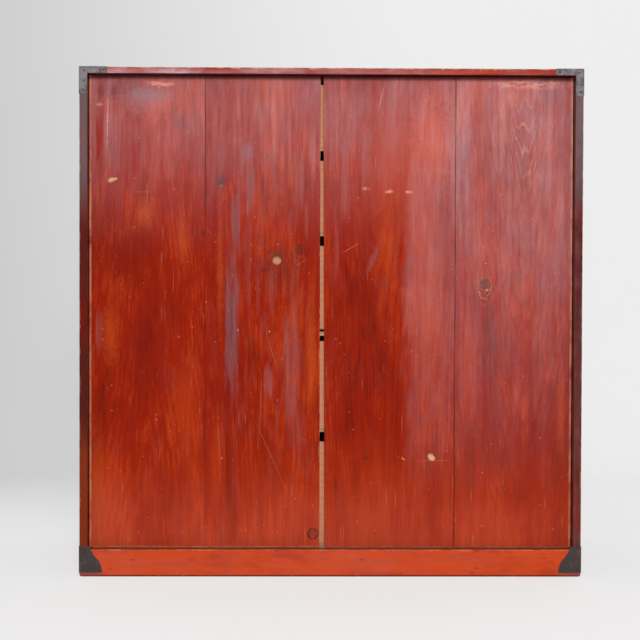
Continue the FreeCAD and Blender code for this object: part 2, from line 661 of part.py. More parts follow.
def foot_iron_outline():
    """The outline of one leaf in its own plane: along the base from the corner, then up."""
    width, neck, height = size("foot_iron_width"), size("foot_iron_neck"), size("foot_iron_height")
    spread = width - neck

    def at(shares):
        return FreeCAD.Vector(neck + spread * shares[0], height * shares[1], 0)

    corner, foot = FreeCAD.Vector(0, 0, 0), FreeCAD.Vector(width, 0, 0)
    neck_end, head = FreeCAD.Vector(neck, height, 0), FreeCAD.Vector(0, height, 0)
    waist = at(FOOT_IRON_WAIST_SHARES)
    edges = [
        Part.LineSegment(corner, foot),
        Part.Arc(foot, at(FOOT_IRON_LOWER_SHARES), waist),
        Part.Arc(waist, at(FOOT_IRON_UPPER_SHARES), neck_end),
        Part.LineSegment(neck_end, head),
        Part.LineSegment(head, corner),
    ]
    return Part.Face(Part.Wire([edge.toShape() for edge in edges]))


def foot_iron(end, side):
    """A leaf on each face of a bottom corner, joined along the fold."""
    sheet_thickness = size("iron_thickness")
    leaf = foot_iron_outline().extrude(FreeCAD.Vector(0, 0, sheet_thickness))
    fold = Part.makeBox(sheet_thickness, sheet_thickness, size("foot_iron_height"))
    rear_leaf = laid(leaf.copy(), WAY[LEFT], UP)
    side_leaf = laid(leaf.mirror(FreeCAD.Vector(), UP), FORWARD, UP)
    iron = rear_leaf.fuse([side_leaf, fold]).removeSplitter()
    if end == "front":
        iron = iron.mirror(FreeCAD.Vector(), BACKWARD)
    if side == LEFT:
        iron = iron.mirror(FreeCAD.Vector(), WAY[RIGHT])
    made = doc.addObject("Part::Feature", f"foot_iron_{end}_{side}")
    made.Shape = iron
    return put(made, f"0 {SIGN[side]} {HALF}", FRONT if end == "front" else REAR, "foot_iron_lift")


def make_irons():
    corners = [(end, side) for end in ("front", "back") for side in SIDES]
    node("top_corner_irons", group("top_irons", [top_iron(end, side) for end, side in corners]))
    node("bottom_corner_irons", group("foot_irons", [foot_iron(end, side) for end, side in corners]))


# Build, check and write

def check_all():
    """Stops if anything failed, before a file is written."""
    for thing in doc.Objects:
        if "Invalid" in thing.State or "Error" in thing.State:
            raise RuntimeError(f"{thing.Name} failed: {thing.State}")
    for label, thing in nodes.items():
        if thing.Shape.isNull() or not thing.Shape.isValid() or not thing.Shape.Solids:
            raise RuntimeError(f"{label} has no valid solid")


def main():
    for side in SIDES:
        make_side(side)
        make_runners(side)
    make_top()
    make_front_rails()
    make_dust_board()
    make_base()
    make_back_panels()
    for tier in TIERS:
        drawer = Drawer(tier)
        make_drawer_box(drawer)
        make_pulls(drawer)
        make_lock(drawer)
    make_irons()
    doc.recompute()
    check_all()
    os.makedirs("parts", exist_ok=True)
    for label, thing in nodes.items():
        thing.Shape.exportStep(f"parts/{label}.step")
    print(len(nodes), "nodes,", sum(len(thing.Shape.Solids) for thing in nodes.values()), "solids")


main()
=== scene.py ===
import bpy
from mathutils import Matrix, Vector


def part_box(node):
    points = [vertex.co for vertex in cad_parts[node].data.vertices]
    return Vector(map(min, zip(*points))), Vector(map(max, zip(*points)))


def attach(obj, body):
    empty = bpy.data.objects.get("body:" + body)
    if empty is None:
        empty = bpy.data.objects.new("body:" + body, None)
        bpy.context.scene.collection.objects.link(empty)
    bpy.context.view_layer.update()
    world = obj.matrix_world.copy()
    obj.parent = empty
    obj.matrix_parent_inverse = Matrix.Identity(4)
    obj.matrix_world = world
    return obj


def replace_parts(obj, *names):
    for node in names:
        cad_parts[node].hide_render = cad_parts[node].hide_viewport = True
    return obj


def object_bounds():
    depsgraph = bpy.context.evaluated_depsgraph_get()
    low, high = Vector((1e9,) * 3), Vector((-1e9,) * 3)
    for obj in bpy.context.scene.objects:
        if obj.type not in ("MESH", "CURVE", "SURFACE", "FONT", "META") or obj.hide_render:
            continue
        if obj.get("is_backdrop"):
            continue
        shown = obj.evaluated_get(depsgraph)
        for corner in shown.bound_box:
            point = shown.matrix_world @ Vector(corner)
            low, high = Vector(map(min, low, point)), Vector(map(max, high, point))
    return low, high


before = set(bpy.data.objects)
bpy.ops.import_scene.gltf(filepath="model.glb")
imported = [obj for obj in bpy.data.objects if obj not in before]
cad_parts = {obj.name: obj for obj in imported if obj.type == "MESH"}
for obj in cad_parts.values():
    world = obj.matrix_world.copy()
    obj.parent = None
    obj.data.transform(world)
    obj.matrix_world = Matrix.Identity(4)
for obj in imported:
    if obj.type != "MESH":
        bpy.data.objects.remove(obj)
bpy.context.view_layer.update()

import inspect
import math

import bmesh
import bpy
from bpy.props import FloatProperty, FloatVectorProperty, PointerProperty
from bpy.types import Operator, Panel, PropertyGroup
from mathutils import Matrix, Vector

bl_info = {
    "name": "Tansu Chest",
    "version": (1, 0, 0),
    "blender": (4, 5, 0),
    "location": "View3D > Sidebar > Tansu",
    "description": "Finishes a red-lacquered tansu chest: boards, panels, drawers, pulls, locks and irons",
    "category": "Object",
}

CASE_LOW = Vector((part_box("left_side")[0].x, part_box("left_side")[0].y, 0))
CASE_HIGH = Vector((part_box("right_side")[1].x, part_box("right_side")[1].y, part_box("top_board")[1].z))
PANEL_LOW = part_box("back_panel_left")[0]
PANEL_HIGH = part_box("back_panel_right")[1]
PANEL_FACE = PANEL_HIGH.y
DRAWERS = [f"drawer_{tier}" for tier in range(1, 6)]
RAILS = ["drawer_rail_1", "drawer_rail_2", "mid_rail", "drawer_rail_4"]
BARE_SHELVES = ["bottom_board", "dust_board", "left_runners", "right_runners"]
LACQUER, IRON = "red_lacquer", "black_iron"
GRAIN_X, GRAIN_Y, GRAIN_Z = "X", "Y", "Z"
GRAIN_ORDER = {GRAIN_X: (2, 1, 0), GRAIN_Y: (0, 2, 1), GRAIN_Z: (0, 1, 2)}
HEART_DEPTH = 0.035


# Marks of age on the back boards

MM = 0.001


class Mark:
    """A mark on a back board, in millimetres: its place from the middle line and the floor, its half width
    and half height, then its colour, strength, turn in degrees, softness and raggedness. In place of a colour
    stands clear where the bloom is gone, gold_pores where the pores show, or scour or scuff where strokes
    have rubbed it."""

    def __init__(self, x, z, half_width, half_height, colour, strength=1.0, turn=0.0, soft=0.3, ragged=0.7):
        self.centre = Vector((x * MM, PANEL_FACE, z * MM))
        self.half = Vector((half_width * MM, 1.0, half_height * MM))
        self.colour, self.strength = colour, strength
        self.turn, self.soft, self.ragged = math.radians(turn), soft, ragged

    def mask(self, graph, seed):
        return graph.effect(lone_mark, graph.point, seed, centre=self.centre, half=self.half,
                            turn=self.turn, soft=self.soft, ragged=self.ragged)["Mask"]


class Patch(Mark):
    """A broad mark that fades away all round."""

    def __init__(self, x, z, half_width, half_height, colour, strength, ragged=0.7):
        super().__init__(x, z, half_width, half_height, colour, strength, soft=0.95, ragged=ragged)


class Run(Mark):
    """A run of bloom down a back board, or of lacquer clear of it, with crisp sides and faded ends."""

    def __init__(self, x, z, half_width, half_height, strength, colour="bloom_cool"):
        super().__init__(x, z, half_width, half_height, colour, strength)

    def mask(self, graph, seed):
        return graph.effect(bloom_run, graph.point, seed, centre=self.centre, half=self.half)["Mask"]


MARKS = {}
MARKS["right_outer"] = (
    Run(449, 850, 11, 76, 0.80, "lacquer_red"),
    Run(449, 850, 11, 76, 0.80, "clear"),
    Mark(447, 936, 10, 22, "stain", 0.60, 0, 0.9, 1.6),
    Mark(447, 936, 10, 22, "clear", 0.40, 0, 0.9, 1.6),
    Mark(421, 940, 11, 19, "stain", 0.70, 0, 0.9, 1.6),
    Mark(421, 940, 11, 19, "clear", 0.40, 0, 0.9, 1.6),
    Patch(362, 429, 44, 115, "lacquer_deep", 0.50),
    Patch(395, 625, 80, 110, "lacquer_deep", 0.50, 1.2),
    Patch(452, 680, 40, 110, "lacquer_deep", 0.60, 1.2),
    Patch(400, 950, 80, 55, "lacquer_deep", 0.60, 1.2),
    Patch(360, 703, 27, 44, "lacquer_orange", 0.45, 1.2),
    Patch(287, 645, 16, 75, "lacquer_orange", 0.45, 1.2),
    Patch(428, 468, 24, 90, "lacquer_orange", 0.38, 1.2),
    Patch(282, 332, 38, 150, "lacquer_bright", 0.55),
    Patch(455, 170, 26, 140, "lacquer_orange", 0.40),
    Patch(352, 925, 125, 80, "bloom", 0.20),
    Mark(352, 931, 60, 21, "bloom_cool", 0.62, 0, 0.9, 1.4),
    Mark(270, 888, 16, 42, "bloom_cool", 0.34, 0, 0.9, 1.4),
    Patch(294, 876, 20, 24, "stain", 0.52, 1.6),
    Mark(434, 880, 2.4, 96, "bloom", 0.46, 1, 0.9, 1.3),
    Patch(450, 913, 14, 6.0, "bloom", 0.34, 1.3),
    Mark(365, 744, 23, 1.0, "bloom", 0.22, 0, 0.9, 1.5),
    Run(450, 470, 8, 55, 0.35, "bloom_pink"),
    Run(420, 850, 16, 90, 0.30),
    Mark(333, 953, 36, 8, "scour", 0.80, 0, 0.8, 1.2),
    Mark(424, 768, 13, 4.5, "chip", 0.85, -12, 0.6, 2.2),
    Mark(249, 666, 9, 12, "stain", 0.50, 30, 0.8, 1.6),
)
MARKS["right_inner"] = (
    Patch(98, 602, 50, 66, "stain", 0.42, 1.4),
    Patch(154, 427, 18, 60, "lacquer_deep", 0.55, 1.2),
    Mark(41, 664, 22, 62, "lacquer_red", 0.60, 0, 0.9, 1.2),
    Patch(200, 230, 12, 160, "lacquer_deep", 0.45),
    Patch(39, 427, 15, 175, "lacquer_orange", 0.50),
    Patch(216, 590, 9, 175, "lacquer_orange", 0.36, 1.6),
    Patch(79, 785, 9, 45, "lacquer_orange", 0.40),
    Patch(222, 200, 20, 150, "lacquer_bright", 0.60),
    Mark(36, 831, 13, 125, "bloom", 0.18, 0, 0.9),
    Mark(162, 822, 20, 28, "bloom_cool", 0.60, 0, 0.9, 1.5),
    Run(157, 750, 11, 62, 0.58),
    Run(186, 690, 9, 78, 0.60),
    Run(193, 490, 14, 160, 0.72),
    Mark(193, 497, 3.5, 85, "stain", 0.30, 0, 0.9),
    Run(63, 764, 12, 62, 0.45, "bloom_pink"),
    Run(48, 690, 4, 40, 0.45, "bloom_pink"),
    Run(161, 560, 5, 60, 0.26, "bloom_pink"),
    Run(142, 548, 4, 50, 0.22, "bloom_pink"),
    Run(116, 540, 6, 60, 0.24, "bloom_pink"),
    Run(92, 570, 5, 48, 0.20, "bloom_pink"),
    Run(122, 374, 9, 42, 0.55, "bloom_pink"),
    Run(76, 400, 17, 150, 0.46, "bloom_pink"),
    Mark(216, 765, 14, 19, "stain", 0.85, 25, 0.9, 1.3),
    Mark(213, 757, 3.0, 4.0, "bloom", 0.20, 0, 0.9, 1.5),
    Mark(131, 594, 13, 8, "stain", 0.45, 0, 0.9, 1.6),
    Mark(142, 421, 3, 11, "stain", 0.55, 0, 0.8),
    Mark(129, 808, 0.8, 122, "chip", 0.28, 0, 0.7),
    Mark(137, 325, 1.3, 85, "lacquer_orange", 0.80, 2, 0.8),
    Mark(115, 229, 0.7, 128, "chip", 0.22, -24, 0.8),
    Mark(113, 429, 0.8, 37, "chip", 0.30, -19, 0.8),
    Mark(218, 264, 2.0, 87, "lacquer_orange", 0.70, -3, 0.9),
    Mark(212, 227, 1.5, 1.5, "chip", 0.8),
    Mark(120, 474, 1.6, 1.6, "bloom", 0.5),
    Mark(181, 477, 1.4, 2.4, "bloom", 0.4),
    Mark(241, 672, 1.0, 28, "lacquer_orange", 0.7, -38, 0.8),
)
MARKS["left_inner"] = (
    Patch(-120, 790, 105, 190, "lacquer_bright", 0.65),
    Patch(-60, 560, 60, 130, "lacquer_deep", 0.35, 1.2),
    Patch(-196, 850, 62, 140, "base_bright", 0.65, 1.2),
    Patch(-55, 955, 95, 38, "clear", 0.40, 1.2),
    Mark(-148, 420, 20, 190, "clear", 0.45, 0, 0.9, 1.2),
    Patch(-110, 640, 24, 80, "lacquer_orange", 0.20, 1.2),
    Patch(-56, 90, 95, 90, "lacquer_bright", 0.5),
    Patch(-190, 560, 48, 340, "lacquer_bright", 0.6),
    Run(-27, 785, 13, 118, 0.40, "bloom_pink"),
    Run(-10, 640, 5, 80, 0.28, "bloom_pink"),
    Mark(-100, 820, 14, 85, "scuff", 0.85, 0, 0.9, 1.2),
    Mark(-66, 752, 9, 4.0, "scrape", 0.75, 8, 0.8, 1.9),
    Mark(-112, 747, 10, 4.5, "scrape", 0.85, -10, 0.7, 2.2),
    Mark(-150, 746, 9, 3.5, "scrape", 0.75, 5, 0.8, 1.9),
    Mark(-81, 615, 8, 48, "bloom_cool", 0.50, 24, 0.95, 1.3),
    Mark(-95, 925, 3, 47, "bloom", 0.26, 14, 0.8),
    Mark(-38, 637, 0.8, 29, "chip", 0.40, 60, 0.8),
    Mark(-196, 229, 7, 6, "chip", 1.0, 35, ragged=2.4),
    Mark(-141, 227, 5, 1.6, "chip", 0.6, 40, ragged=1.6),
    Mark(-200, 223, 45, 0.7, "chip", 0.3, 0, 0.8),
    Mark(-68, 227, 8, 6, "stain", 0.50, 0, 0.9, 1.4),
    Mark(-118, 101, 0.7, 47, "soot", 0.6, 0, 0.5),
    Mark(-79, 136, 0.7, 31, "soot", 0.5, 0, 0.5),
    Mark(-128, 89, 0.6, 29, "soot", 0.4, 0, 0.5),
)
MARKS["left_outer"] = (
    Patch(-270, 944, 60, 60, "lacquer_bright", 0.6),
    Patch(-347, 934, 15, 30, "lacquer_orange", 0.60),
    Patch(-371, 824, 12, 85, "stain", 0.30, 1.2),
    Patch(-435, 932, 22, 22, "stain", 0.30),
    Patch(-268, 400, 26, 170, "lacquer_bright", 0.55),
    Patch(-311, 450, 24, 110, "stain", 0.36, 1.2),
    Patch(-272, 200, 11, 130, "stain", 0.22, 1.2),
    Patch(-335, 250, 20, 120, "stain", 0.20, 1.2),
    Patch(-400, 330, 24, 170, "lacquer_deep", 0.40),
    Mark(-372, 850, 74, 130, "gold_pores", 0.90, 0, 0.8),
    Mark(-340, 521, 10, 10, "stain", 0.25, 30, 0.9, 1.4),
    Mark(-301, 608, 1.4, 1.4, "chip", 0.8),
    Mark(-330, 741, 6, 1.6, "scrape", 0.60, 0, 0.8, 1.8),
    Patch(-450, 318, 12, 130, "lacquer_orange", 0.35),
    Mark(-385, 955, 105, 12, "scour", 0.72, 0, 0.8, 1.2),
)


class Knot:
    """A knot in a back board, in millimetres: its place from the middle line and the floor and its radius,
    then how dark its core, the crack round it and the swirling grain are, and how pale the rest is."""

    def __init__(self, x, z, radius, core, crack, swirl, pale):
        self.centre = Vector((x * MM, PANEL_FACE, z * MM))
        self.radius = radius * MM
        self.core, self.crack, self.swirl, self.pale = core, crack, swirl, pale


KNOTS = {
    "right_inner": (Knot(60, 633, 10, 0.40, 0.50, 0.60, 0.15), Knot(34, 80, 10.3, 0.30, 1.0, 0.0, 0.0)),
    "left_outer": (Knot(-299, 568, 9.5, 0.60, 0.85, 0.90, 0.80),),
}
HEARTS = {"right_outer": 0.362, "right_inner": 0.109, "left_inner": -0.085, "left_outer": -0.373}
TAPERS = {"right_outer": -0.12, "right_inner": 0.05, "left_inner": 0.06, "left_outer": 0.14}
PANEL_FILM = {"right_outer": 0.15, "right_inner": 0.40, "left_inner": 0.30, "left_outer": 0.15}


# What a user would change

def length(name, description, default):
    return FloatProperty(name=name, description=description, default=default, min=0, unit="LENGTH")


def colour(name, description, default):
    return FloatVectorProperty(name=name, description=description, default=default, size=3, min=0, max=1,
                               subtype="COLOR")


class ChestSizes(PropertyGroup):
    """Sizes of the details that the finish adds."""
    board_ease: length("Board ease", "How far the edges of the case's boards are rounded", 0.0011)
    panel_ease: length("Panel ease", "How far the edges of the back boards are rounded", 0.0007)
    drawer_ease: length("Drawer ease", "How far the edges of the drawer boards are rounded", 0.0008)
    iron_ease: length("Iron ease", "How far the edges of the corner irons are rounded", 0.00035)
    panel_joint_right: length("Right panel joint", "Glue joint of the right panel, from the middle", 0.245)
    panel_joint_left: length("Left panel joint", "Glue joint of the left panel, from the middle", 0.241)
    hole_squeeze: FloatProperty(name="Hole squeeze", default=0.84, min=0.5, max=1,
                                description="Width of the lost knot's hole by its height")
    nail_radius: length("Nail radius", "Heads of the nails in the irons", 0.0019)
    nail_rise: length("Nail rise", "How far a nail's head stands out of the iron", 0.0005)


class ChestColours(PropertyGroup):
    """Colours of the finishes."""
    lacquer_deep: colour("Deep lacquer", "Lacquer where it lies thick", (0.155, 0.006, 0.002))
    lacquer_red: colour("Red lacquer", "Lacquer at its usual depth", (0.275, 0.011, 0.001))
    lacquer_bright: colour("Bright lacquer", "Lacquer where it lies thin over the wood", (0.44, 0.037, 0.004))
    lacquer_orange: colour("Orange lacquer", "Lacquer where it is rubbed thin", (0.52, 0.078, 0.011))
    lacquer_film: colour("Lacquer film", "Dull film that has dried on the lacquer", (0.23, 0.062, 0.055))
    scrape: colour("Scrape", "Lacquer that is scraped pale", (0.74, 0.25, 0.14))
    base_bright: colour("Base lacquer", "Lacquer of the base rails", (0.59, 0.062, 0.010))
    case_black: colour("Black lacquer", "Lacquer of the sides where it lies thick", (0.024, 0.007, 0.006))
    case_dark: colour("Dark lacquer", "Lacquer of the case's sides", (0.080, 0.011, 0.007))
    # The rebate colour is painted shade, used in the recess behind the back panels.
    rebate: colour("Rebate", "Lacquer in the shade of the back's rebate", (0.060, 0.005, 0.004))
    # Bloom also carries a painted reflection of the light, on the back boards and on the top board.
    bloom: colour("Bloom", "Chalky bloom on old lacquer", (0.72, 0.53, 0.575))
    bloom_cool: colour("Grey bloom", "Bloom that has run down in drips", (0.19, 0.10, 0.112))
    bloom_pink: colour("Pink bloom", "Bloom that has run down thinly", (0.38, 0.115, 0.10))
    stain: colour("Stain", "Dark stains and knots", (0.060, 0.014, 0.012))
    chip: colour("Chip", "Bare wood where the lacquer is chipped", (0.66, 0.38, 0.20))
    bare_pale: colour("Pale wood", "Early wood of the bare boards", (0.62, 0.37, 0.215))
    bare_brown: colour("Brown wood", "Late wood of the bare boards", (0.38, 0.21, 0.11))
    back_pale: colour("Pale back wood", "Early wood of the drawers' backs", (0.80, 0.33, 0.18))
    back_brown: colour("Brown back wood", "Late wood of the drawers' backs", (0.56, 0.20, 0.10))
    soot: colour("Soot", "Dirt in joints and hollows", (0.016, 0.010, 0.008))
    iron_black: colour("Black iron", "Blackened iron", (0.042, 0.031, 0.029))
    iron_rust: colour("Rust", "Rust on the iron", (0.105, 0.048, 0.030))
    iron_worn: colour("Worn iron", "Bright iron where it is rubbed", (0.26, 0.23, 0.22))
    # Iron dust also carries painted reflection: on the top irons and on the sides' lips.
    iron_dust: colour("Iron dust", "Grey dust on the iron", (0.24, 0.215, 0.23))
    wall_light: colour("Wall", "Studio wall on its light side", (0.93, 0.93, 0.93))
    wall_shade: colour("Shaded wall", "Studio wall on its shaded side", (0.62, 0.62, 0.62))
    floor: colour("Floor", "Studio floor", (0.93, 0.93, 0.93))
    studio: colour("Studio", "The room's light", (1.0, 1.0, 1.0))


def sizes():
    return bpy.context.scene.chest_sizes


def paint(name):
    return (*getattr(bpy.context.scene.chest_colours, name), 1.0)


# Shader helpers

class Graph:
    """Adds nodes to one tree. What feeds a node is a number, a tuple, a Value or another node's output."""

    def __init__(self, tree):
        self.tree = tree

    def node(self, kind, inputs=None, **settings):
        made = self.tree.nodes.new(kind)
        for name, value in settings.items():
            setattr(made, name, value)
        for key, value in (inputs or {}).items():
            self.feed(made.inputs[key], value)
        return made

    def feed(self, socket, value):
        value = getattr(value, "socket", value)
        if isinstance(value, bpy.types.NodeSocket):
            self.tree.links.new(value, socket)
        else:
            socket.default_value = value

    def mix(self, factor, first, second):
        return self.node("ShaderNodeMix", {0: factor, 6: first, 7: second}, data_type="RGBA").outputs[2]

    def seen(self):
        """1 for rays that show a surface as it looks, and 0 for rays that carry its light."""
        rays = self.node("ShaderNodeLightPath").outputs
        return Value(self, rays["Is Camera Ray"]) + rays["Is Glossy Ray"] + rays["Is Transmission Ray"]

    def effect(self, build, *first, **named):
        """A shared effect with its own first and named inputs. Its node group is built the first time."""
        name = build.__name__.replace("_", " ").title()
        tree = bpy.data.node_groups.get(name) or make_effect(name, build)
        inputs = dict(enumerate(first)) | {label.title(): value for label, value in named.items()}
        made = self.node("ShaderNodeGroup", inputs, node_tree=tree)
        return {output.name: Value(self, output) for output in made.outputs}


def step(operation):
    """A method of a Value that adds one math node."""
    return lambda self, other=0.0: self.math(operation, other)


class Value:
    """A number that changes over a surface. Each sum, product or ramp of it adds a node to its graph."""

    math_node = "ShaderNodeMath"
    __add__, __sub__, __mul__, __truediv__ = step("ADD"), step("SUBTRACT"), step("MULTIPLY"), step("DIVIDE")
    __abs__, __lt__, __gt__ = step("ABSOLUTE"), step("LESS_THAN"), step("GREATER_THAN")
    most, least = step("MAXIMUM"), step("MINIMUM")

    def __init__(self, graph, socket):
        self.graph, self.socket = graph, socket

    def made(self, kind, node, inputs, **settings):
        """A Value or a Place from a new node's first output."""
        return kind(self.graph, self.graph.node(node, inputs, **settings).outputs[0])

    def math(self, operation, other=0.0):
        return self.made(type(self), self.math_node, {0: self, 1: other}, operation=operation)

    def far(self, other):
        """How far the point with these two sides lies from the middle."""
        return (self.math("POWER", 2.0) + other.math("POWER", 2.0)).math("SQRT")

    def fold(self, count):
        """Counted, and folded to and fro between 0 and 1."""
        return (self * count).math("PINGPONG", 1.0)

    def ramp(self, low, high, start=0.0, end=1.0):
        """A smooth step from start to end as this goes from low to high."""
        inputs = {"Value": self, "From Min": low, "From Max": high, "To Min": start, "To Max": end}
        return self.made(Value, "ShaderNodeMapRange", inputs, interpolation_type="SMOOTHSTEP")

    def span(self, start, end):
        """A mask from 0 to 1, taken smoothly to the span from start to end."""
        return self.ramp(0.0, 1.0, start, end)


class Place(Value):
    """A point that changes over a surface."""

    math_node = "ShaderNodeVectorMath"

    def axes(self):
        sides = self.graph.node("ShaderNodeSeparateXYZ", {0: self}).outputs
        return [Value(self.graph, side) for side in sides]

    def stretch(self, scale, turn=(0, 0, 0)):
        return self.made(Place, "ShaderNodeMapping", {"Vector": self, "Scale": scale, "Rotation": turn})

    def turned(self, angle):
        """Turned about Y."""
        inputs = {"Vector": self, "Angle": angle}
        return self.made(Place, "ShaderNodeVectorRotate", inputs, rotation_type="Y_AXIS")

    def noise(self, scale, seed, detail=3.0, rough=0.5, bend=0.0, along=1.0):
        """Noise about 0.5, drawn out along Z where along is below 1."""
        point = self if along == 1.0 else self.stretch((1.0, 1.0, along))
        inputs = {"Vector": point, "W": seed, "Scale": scale, "Detail": detail, "Roughness": rough,
                  "Distortion": bend}
        return self.made(Value, "ShaderNodeTexNoise", inputs, noise_dimensions="4D")

    def cells(self, scale, seed):
        """Distance to the nearest of many scattered points, and a random place for that point."""
        inputs = {"Vector": self, "W": seed, "Scale": scale}
        made = self.graph.node("ShaderNodeTexVoronoi", inputs, voronoi_dimensions="4D").outputs
        return Value(self.graph, made["Distance"]), Place(self.graph, made["Color"])


VECTOR_INPUTS = ("point", "low", "high", "heart", "centre", "half")


def make_effect(name, build):
    """A shader node group. Its inputs are those of build, which gives its outputs by their names."""
    tree = bpy.data.node_groups.new(name, "ShaderNodeTree")
    labels = list(inspect.signature(build).parameters)
    for label in labels:
        kind = "NodeSocketVector" if label in VECTOR_INPUTS else "NodeSocketFloat"
        tree.interface.new_socket(label.title(), in_out="INPUT", socket_type=kind)
    graph = Graph(tree)
    source = graph.node("NodeGroupInput").outputs
    inputs = [(Place if label in VECTOR_INPUTS else Value)(graph, source[label.title()]) for label in labels]
    outputs = build(*inputs)
    for label in outputs:
        tree.interface.new_socket(label, in_out="OUTPUT", socket_type="NodeSocketFloat")
    graph.node("NodeGroupOutput", outputs)
    return tree


# Shared effects

def board_edges(point, seed, low, high, width):
    """How worn a point is, by how near it is to an edge of its board, at ragged places."""
    x, y, z = (point - low).least(high - point).axes()
    middle = x.least(y).most(x.most(y).least(z))
    reach = width * point.noise(38.0, seed, 5.0, 0.7).ramp(0.42, 0.72, 0.12, 2.4)
    return {"Wear": (middle / reach).ramp(1.0, 0.5)}


def wood_grain(point, seed, rings, heart, taper):
    """Grain along Z of a board sawn beside its heart: broad figure, ring lines that meet in flames, pores."""
    figure = point.noise(7.0, seed, 3.0, 0.5, 0.5, along=0.10)
    bend = point.noise(26.0, seed, 3.0, 0.55, along=0.22)
    x, y, z = (point - heart).axes()
    growth = x.far(y) - z * taper + figure * 0.09 + bend * 0.014
    pores = point.noise(420.0, seed, 4.0, 0.65, along=0.022)
    return {"Figure": figure, "Lines": growth.fold(rings).ramp(0.45, 1.0), "Pores": pores.ramp(0.40, 0.66),
            "Growth": growth}


def lacquer_flow(point, seed):
    """How lacquer lies along Z: broad runs, a mottle, brush lines, dark sags, a dull film and fine grit."""
    return {
        "Broad": point.noise(7.0, seed, 4.0, 0.55, 0.5, along=0.34).ramp(0.32, 0.68),
        "Mottle": point.noise(27.0, seed + 2.0, 8.0, 0.68, 0.9, along=0.36).ramp(0.34, 0.66),
        "Brush": point.noise(170.0, seed, 4.0, 0.65, along=0.06).ramp(0.30, 0.70),
        "Sags": point.noise(24.0, seed + 9.0, 6.0, 0.66, 0.6, along=0.30).ramp(0.50, 0.72),
        "Film": point.noise(52.0, seed + 5.0, 7.0, 0.72, 0.5, along=0.22).ramp(0.46, 0.64),
        "Grit": point.noise(240.0, seed, 3.0, 0.7).ramp(0.30, 0.70),
    }


def scratches(point, seed):
    """Hair-thin scratches in three directions."""
    marks = 0.0
    for angle, scale in ((12, 300.0), (-31, 260.0), (58, 280.0)):
        run = point.stretch((1.0, 1.0, 0.06), (0, math.radians(angle), 0))
        line = run.noise(scale, seed + angle, 0.0)
        where = point.noise(9.0, seed - angle, 2.0)
        marks = (line.ramp(0.74, 0.81) * where.ramp(0.49, 0.61)).most(marks)
    return {"Marks": marks}


def specks(point, seed, scale, size):
    """Small chips and dents, scattered."""
    ragged = point.noise(260.0, seed, 2.0)
    near, chance = point.cells(scale, seed)
    reach = chance.axes()[0].ramp(0.62, 1.0, -0.10, size)
    return {"Chips": (near + ragged * 0.12).ramp(reach + 0.03, reach)}


def bloom_streaks(point, seed):
    """Chalky bloom that has run down the lacquer in streaks."""
    run = point.noise(22.0, seed, 5.0, 0.6, 0.3, along=0.09)
    cloud = point.noise(6.5, seed, 5.0, 0.6)
    fine = point.noise(110.0, seed, 3.0, 0.6, along=0.05)
    return {"Streak": (run * 0.5 + cloud * 0.5).ramp(0.36, 0.64), "Fine": fine.ramp(0.36, 0.66)}


def knot_rings(point, centre, radius):
    """A knot: its blotched core, the broken crack round it, and dark and pale grain that swirls below it."""
    x, y, z = ((point - centre) / radius).axes()
    wobble = point.noise(110.0, 3.0, 4.0, 0.6) - 0.5
    broken = point.noise(210.0, 8.0, 3.0, 0.6)
    far = x.far(z) + wobble * 0.5
    reach = x.far(z * z.ramp(-0.6, 0.4, 0.42, 1.2)) + wobble * 2.2
    lines = reach.fold(3.2)
    fade = reach.ramp(2.3, 1.1) * broken.ramp(0.38, 0.58)
    return {"Core": far.ramp(1.0, 0.7) * broken.ramp(0.36, 0.66, 0.45, 1.6),
            "Crack": far.ramp(0.72, 0.90) * far.ramp(1.16, 1.0) * broken.ramp(0.3, 0.5, 0.5, 1.0),
            "Swirl": lines.ramp(0.5, 1.0) * fade, "Pale": lines.ramp(0.4, 0.0) * fade}


def lone_mark(point, seed, centre, half, turn, soft, ragged):
    """One mark on a face that looks along Y: a ragged oval of a given half size, turned in its plane."""
    x, y, z = ((point - centre).turned(turn) / half).axes()
    far = x.far(z) + (point.noise(170.0, seed, 3.0, 0.6) - 0.5) * ragged
    return {"Mask": far.ramp(1.0, soft * -1.0 + 1.0)}


def bloom_run(point, seed, centre, half):
    """One run of bloom on a face that looks along Y: streaked, with crisp, wavering sides and faded ends."""
    x, y, z = ((point - centre) / half).axes()
    waver = point.noise(70.0, seed, 5.0, 0.65, along=0.14) - 0.5
    fray = point.noise(130.0, seed, 2.0, along=0.10) - 0.5
    streaks = point.noise(260.0, seed, 3.0, 0.6, along=0.04)
    side, end = abs(x + waver * 1.9), abs(z + fray * 1.5)
    return {"Mask": side.ramp(1.0, 0.60) * end.ramp(1.05, 0.30) * streaks.ramp(0.36, 0.62, 0.62, 1.0)}


def iron_skin(point, seed):
    """Hammered, sooty iron: rust blotches, rubbed spots and a rough height."""
    pits = point.noise(420.0, seed, 3.0, 0.6)
    dents = point.cells(160.0, seed)[0]
    return {"Rust": point.noise(55.0, seed, 5.0, 0.65).ramp(0.50, 0.72),
            "Rubbed": point.noise(130.0, seed + 4.0, 3.0, 0.6).ramp(0.58, 0.74),
            "Height": pits * 0.35 + dents * 0.8}


# Materials

LACQUER_SPECULAR, WOOD_SPECULAR = 0.06, 0.25
BOARD_ROUGH, PANEL_ROUGH = 0.26, 0.27
LACQUER_BUMP, WOOD_BUMP, IRON_BUMP = (0.5, 0.0006), (0.35, 0.0004), (0.45, 0.0005)
RED_COAT = ("lacquer_deep", "lacquer_red", "lacquer_bright")
DARK_COAT = ("case_black", "case_dark", "lacquer_deep")
BASE_COAT = ("lacquer_red", "base_bright", "base_bright")
FRONT_BASE_COAT = ("lacquer_deep", "lacquer_bright", "lacquer_bright")


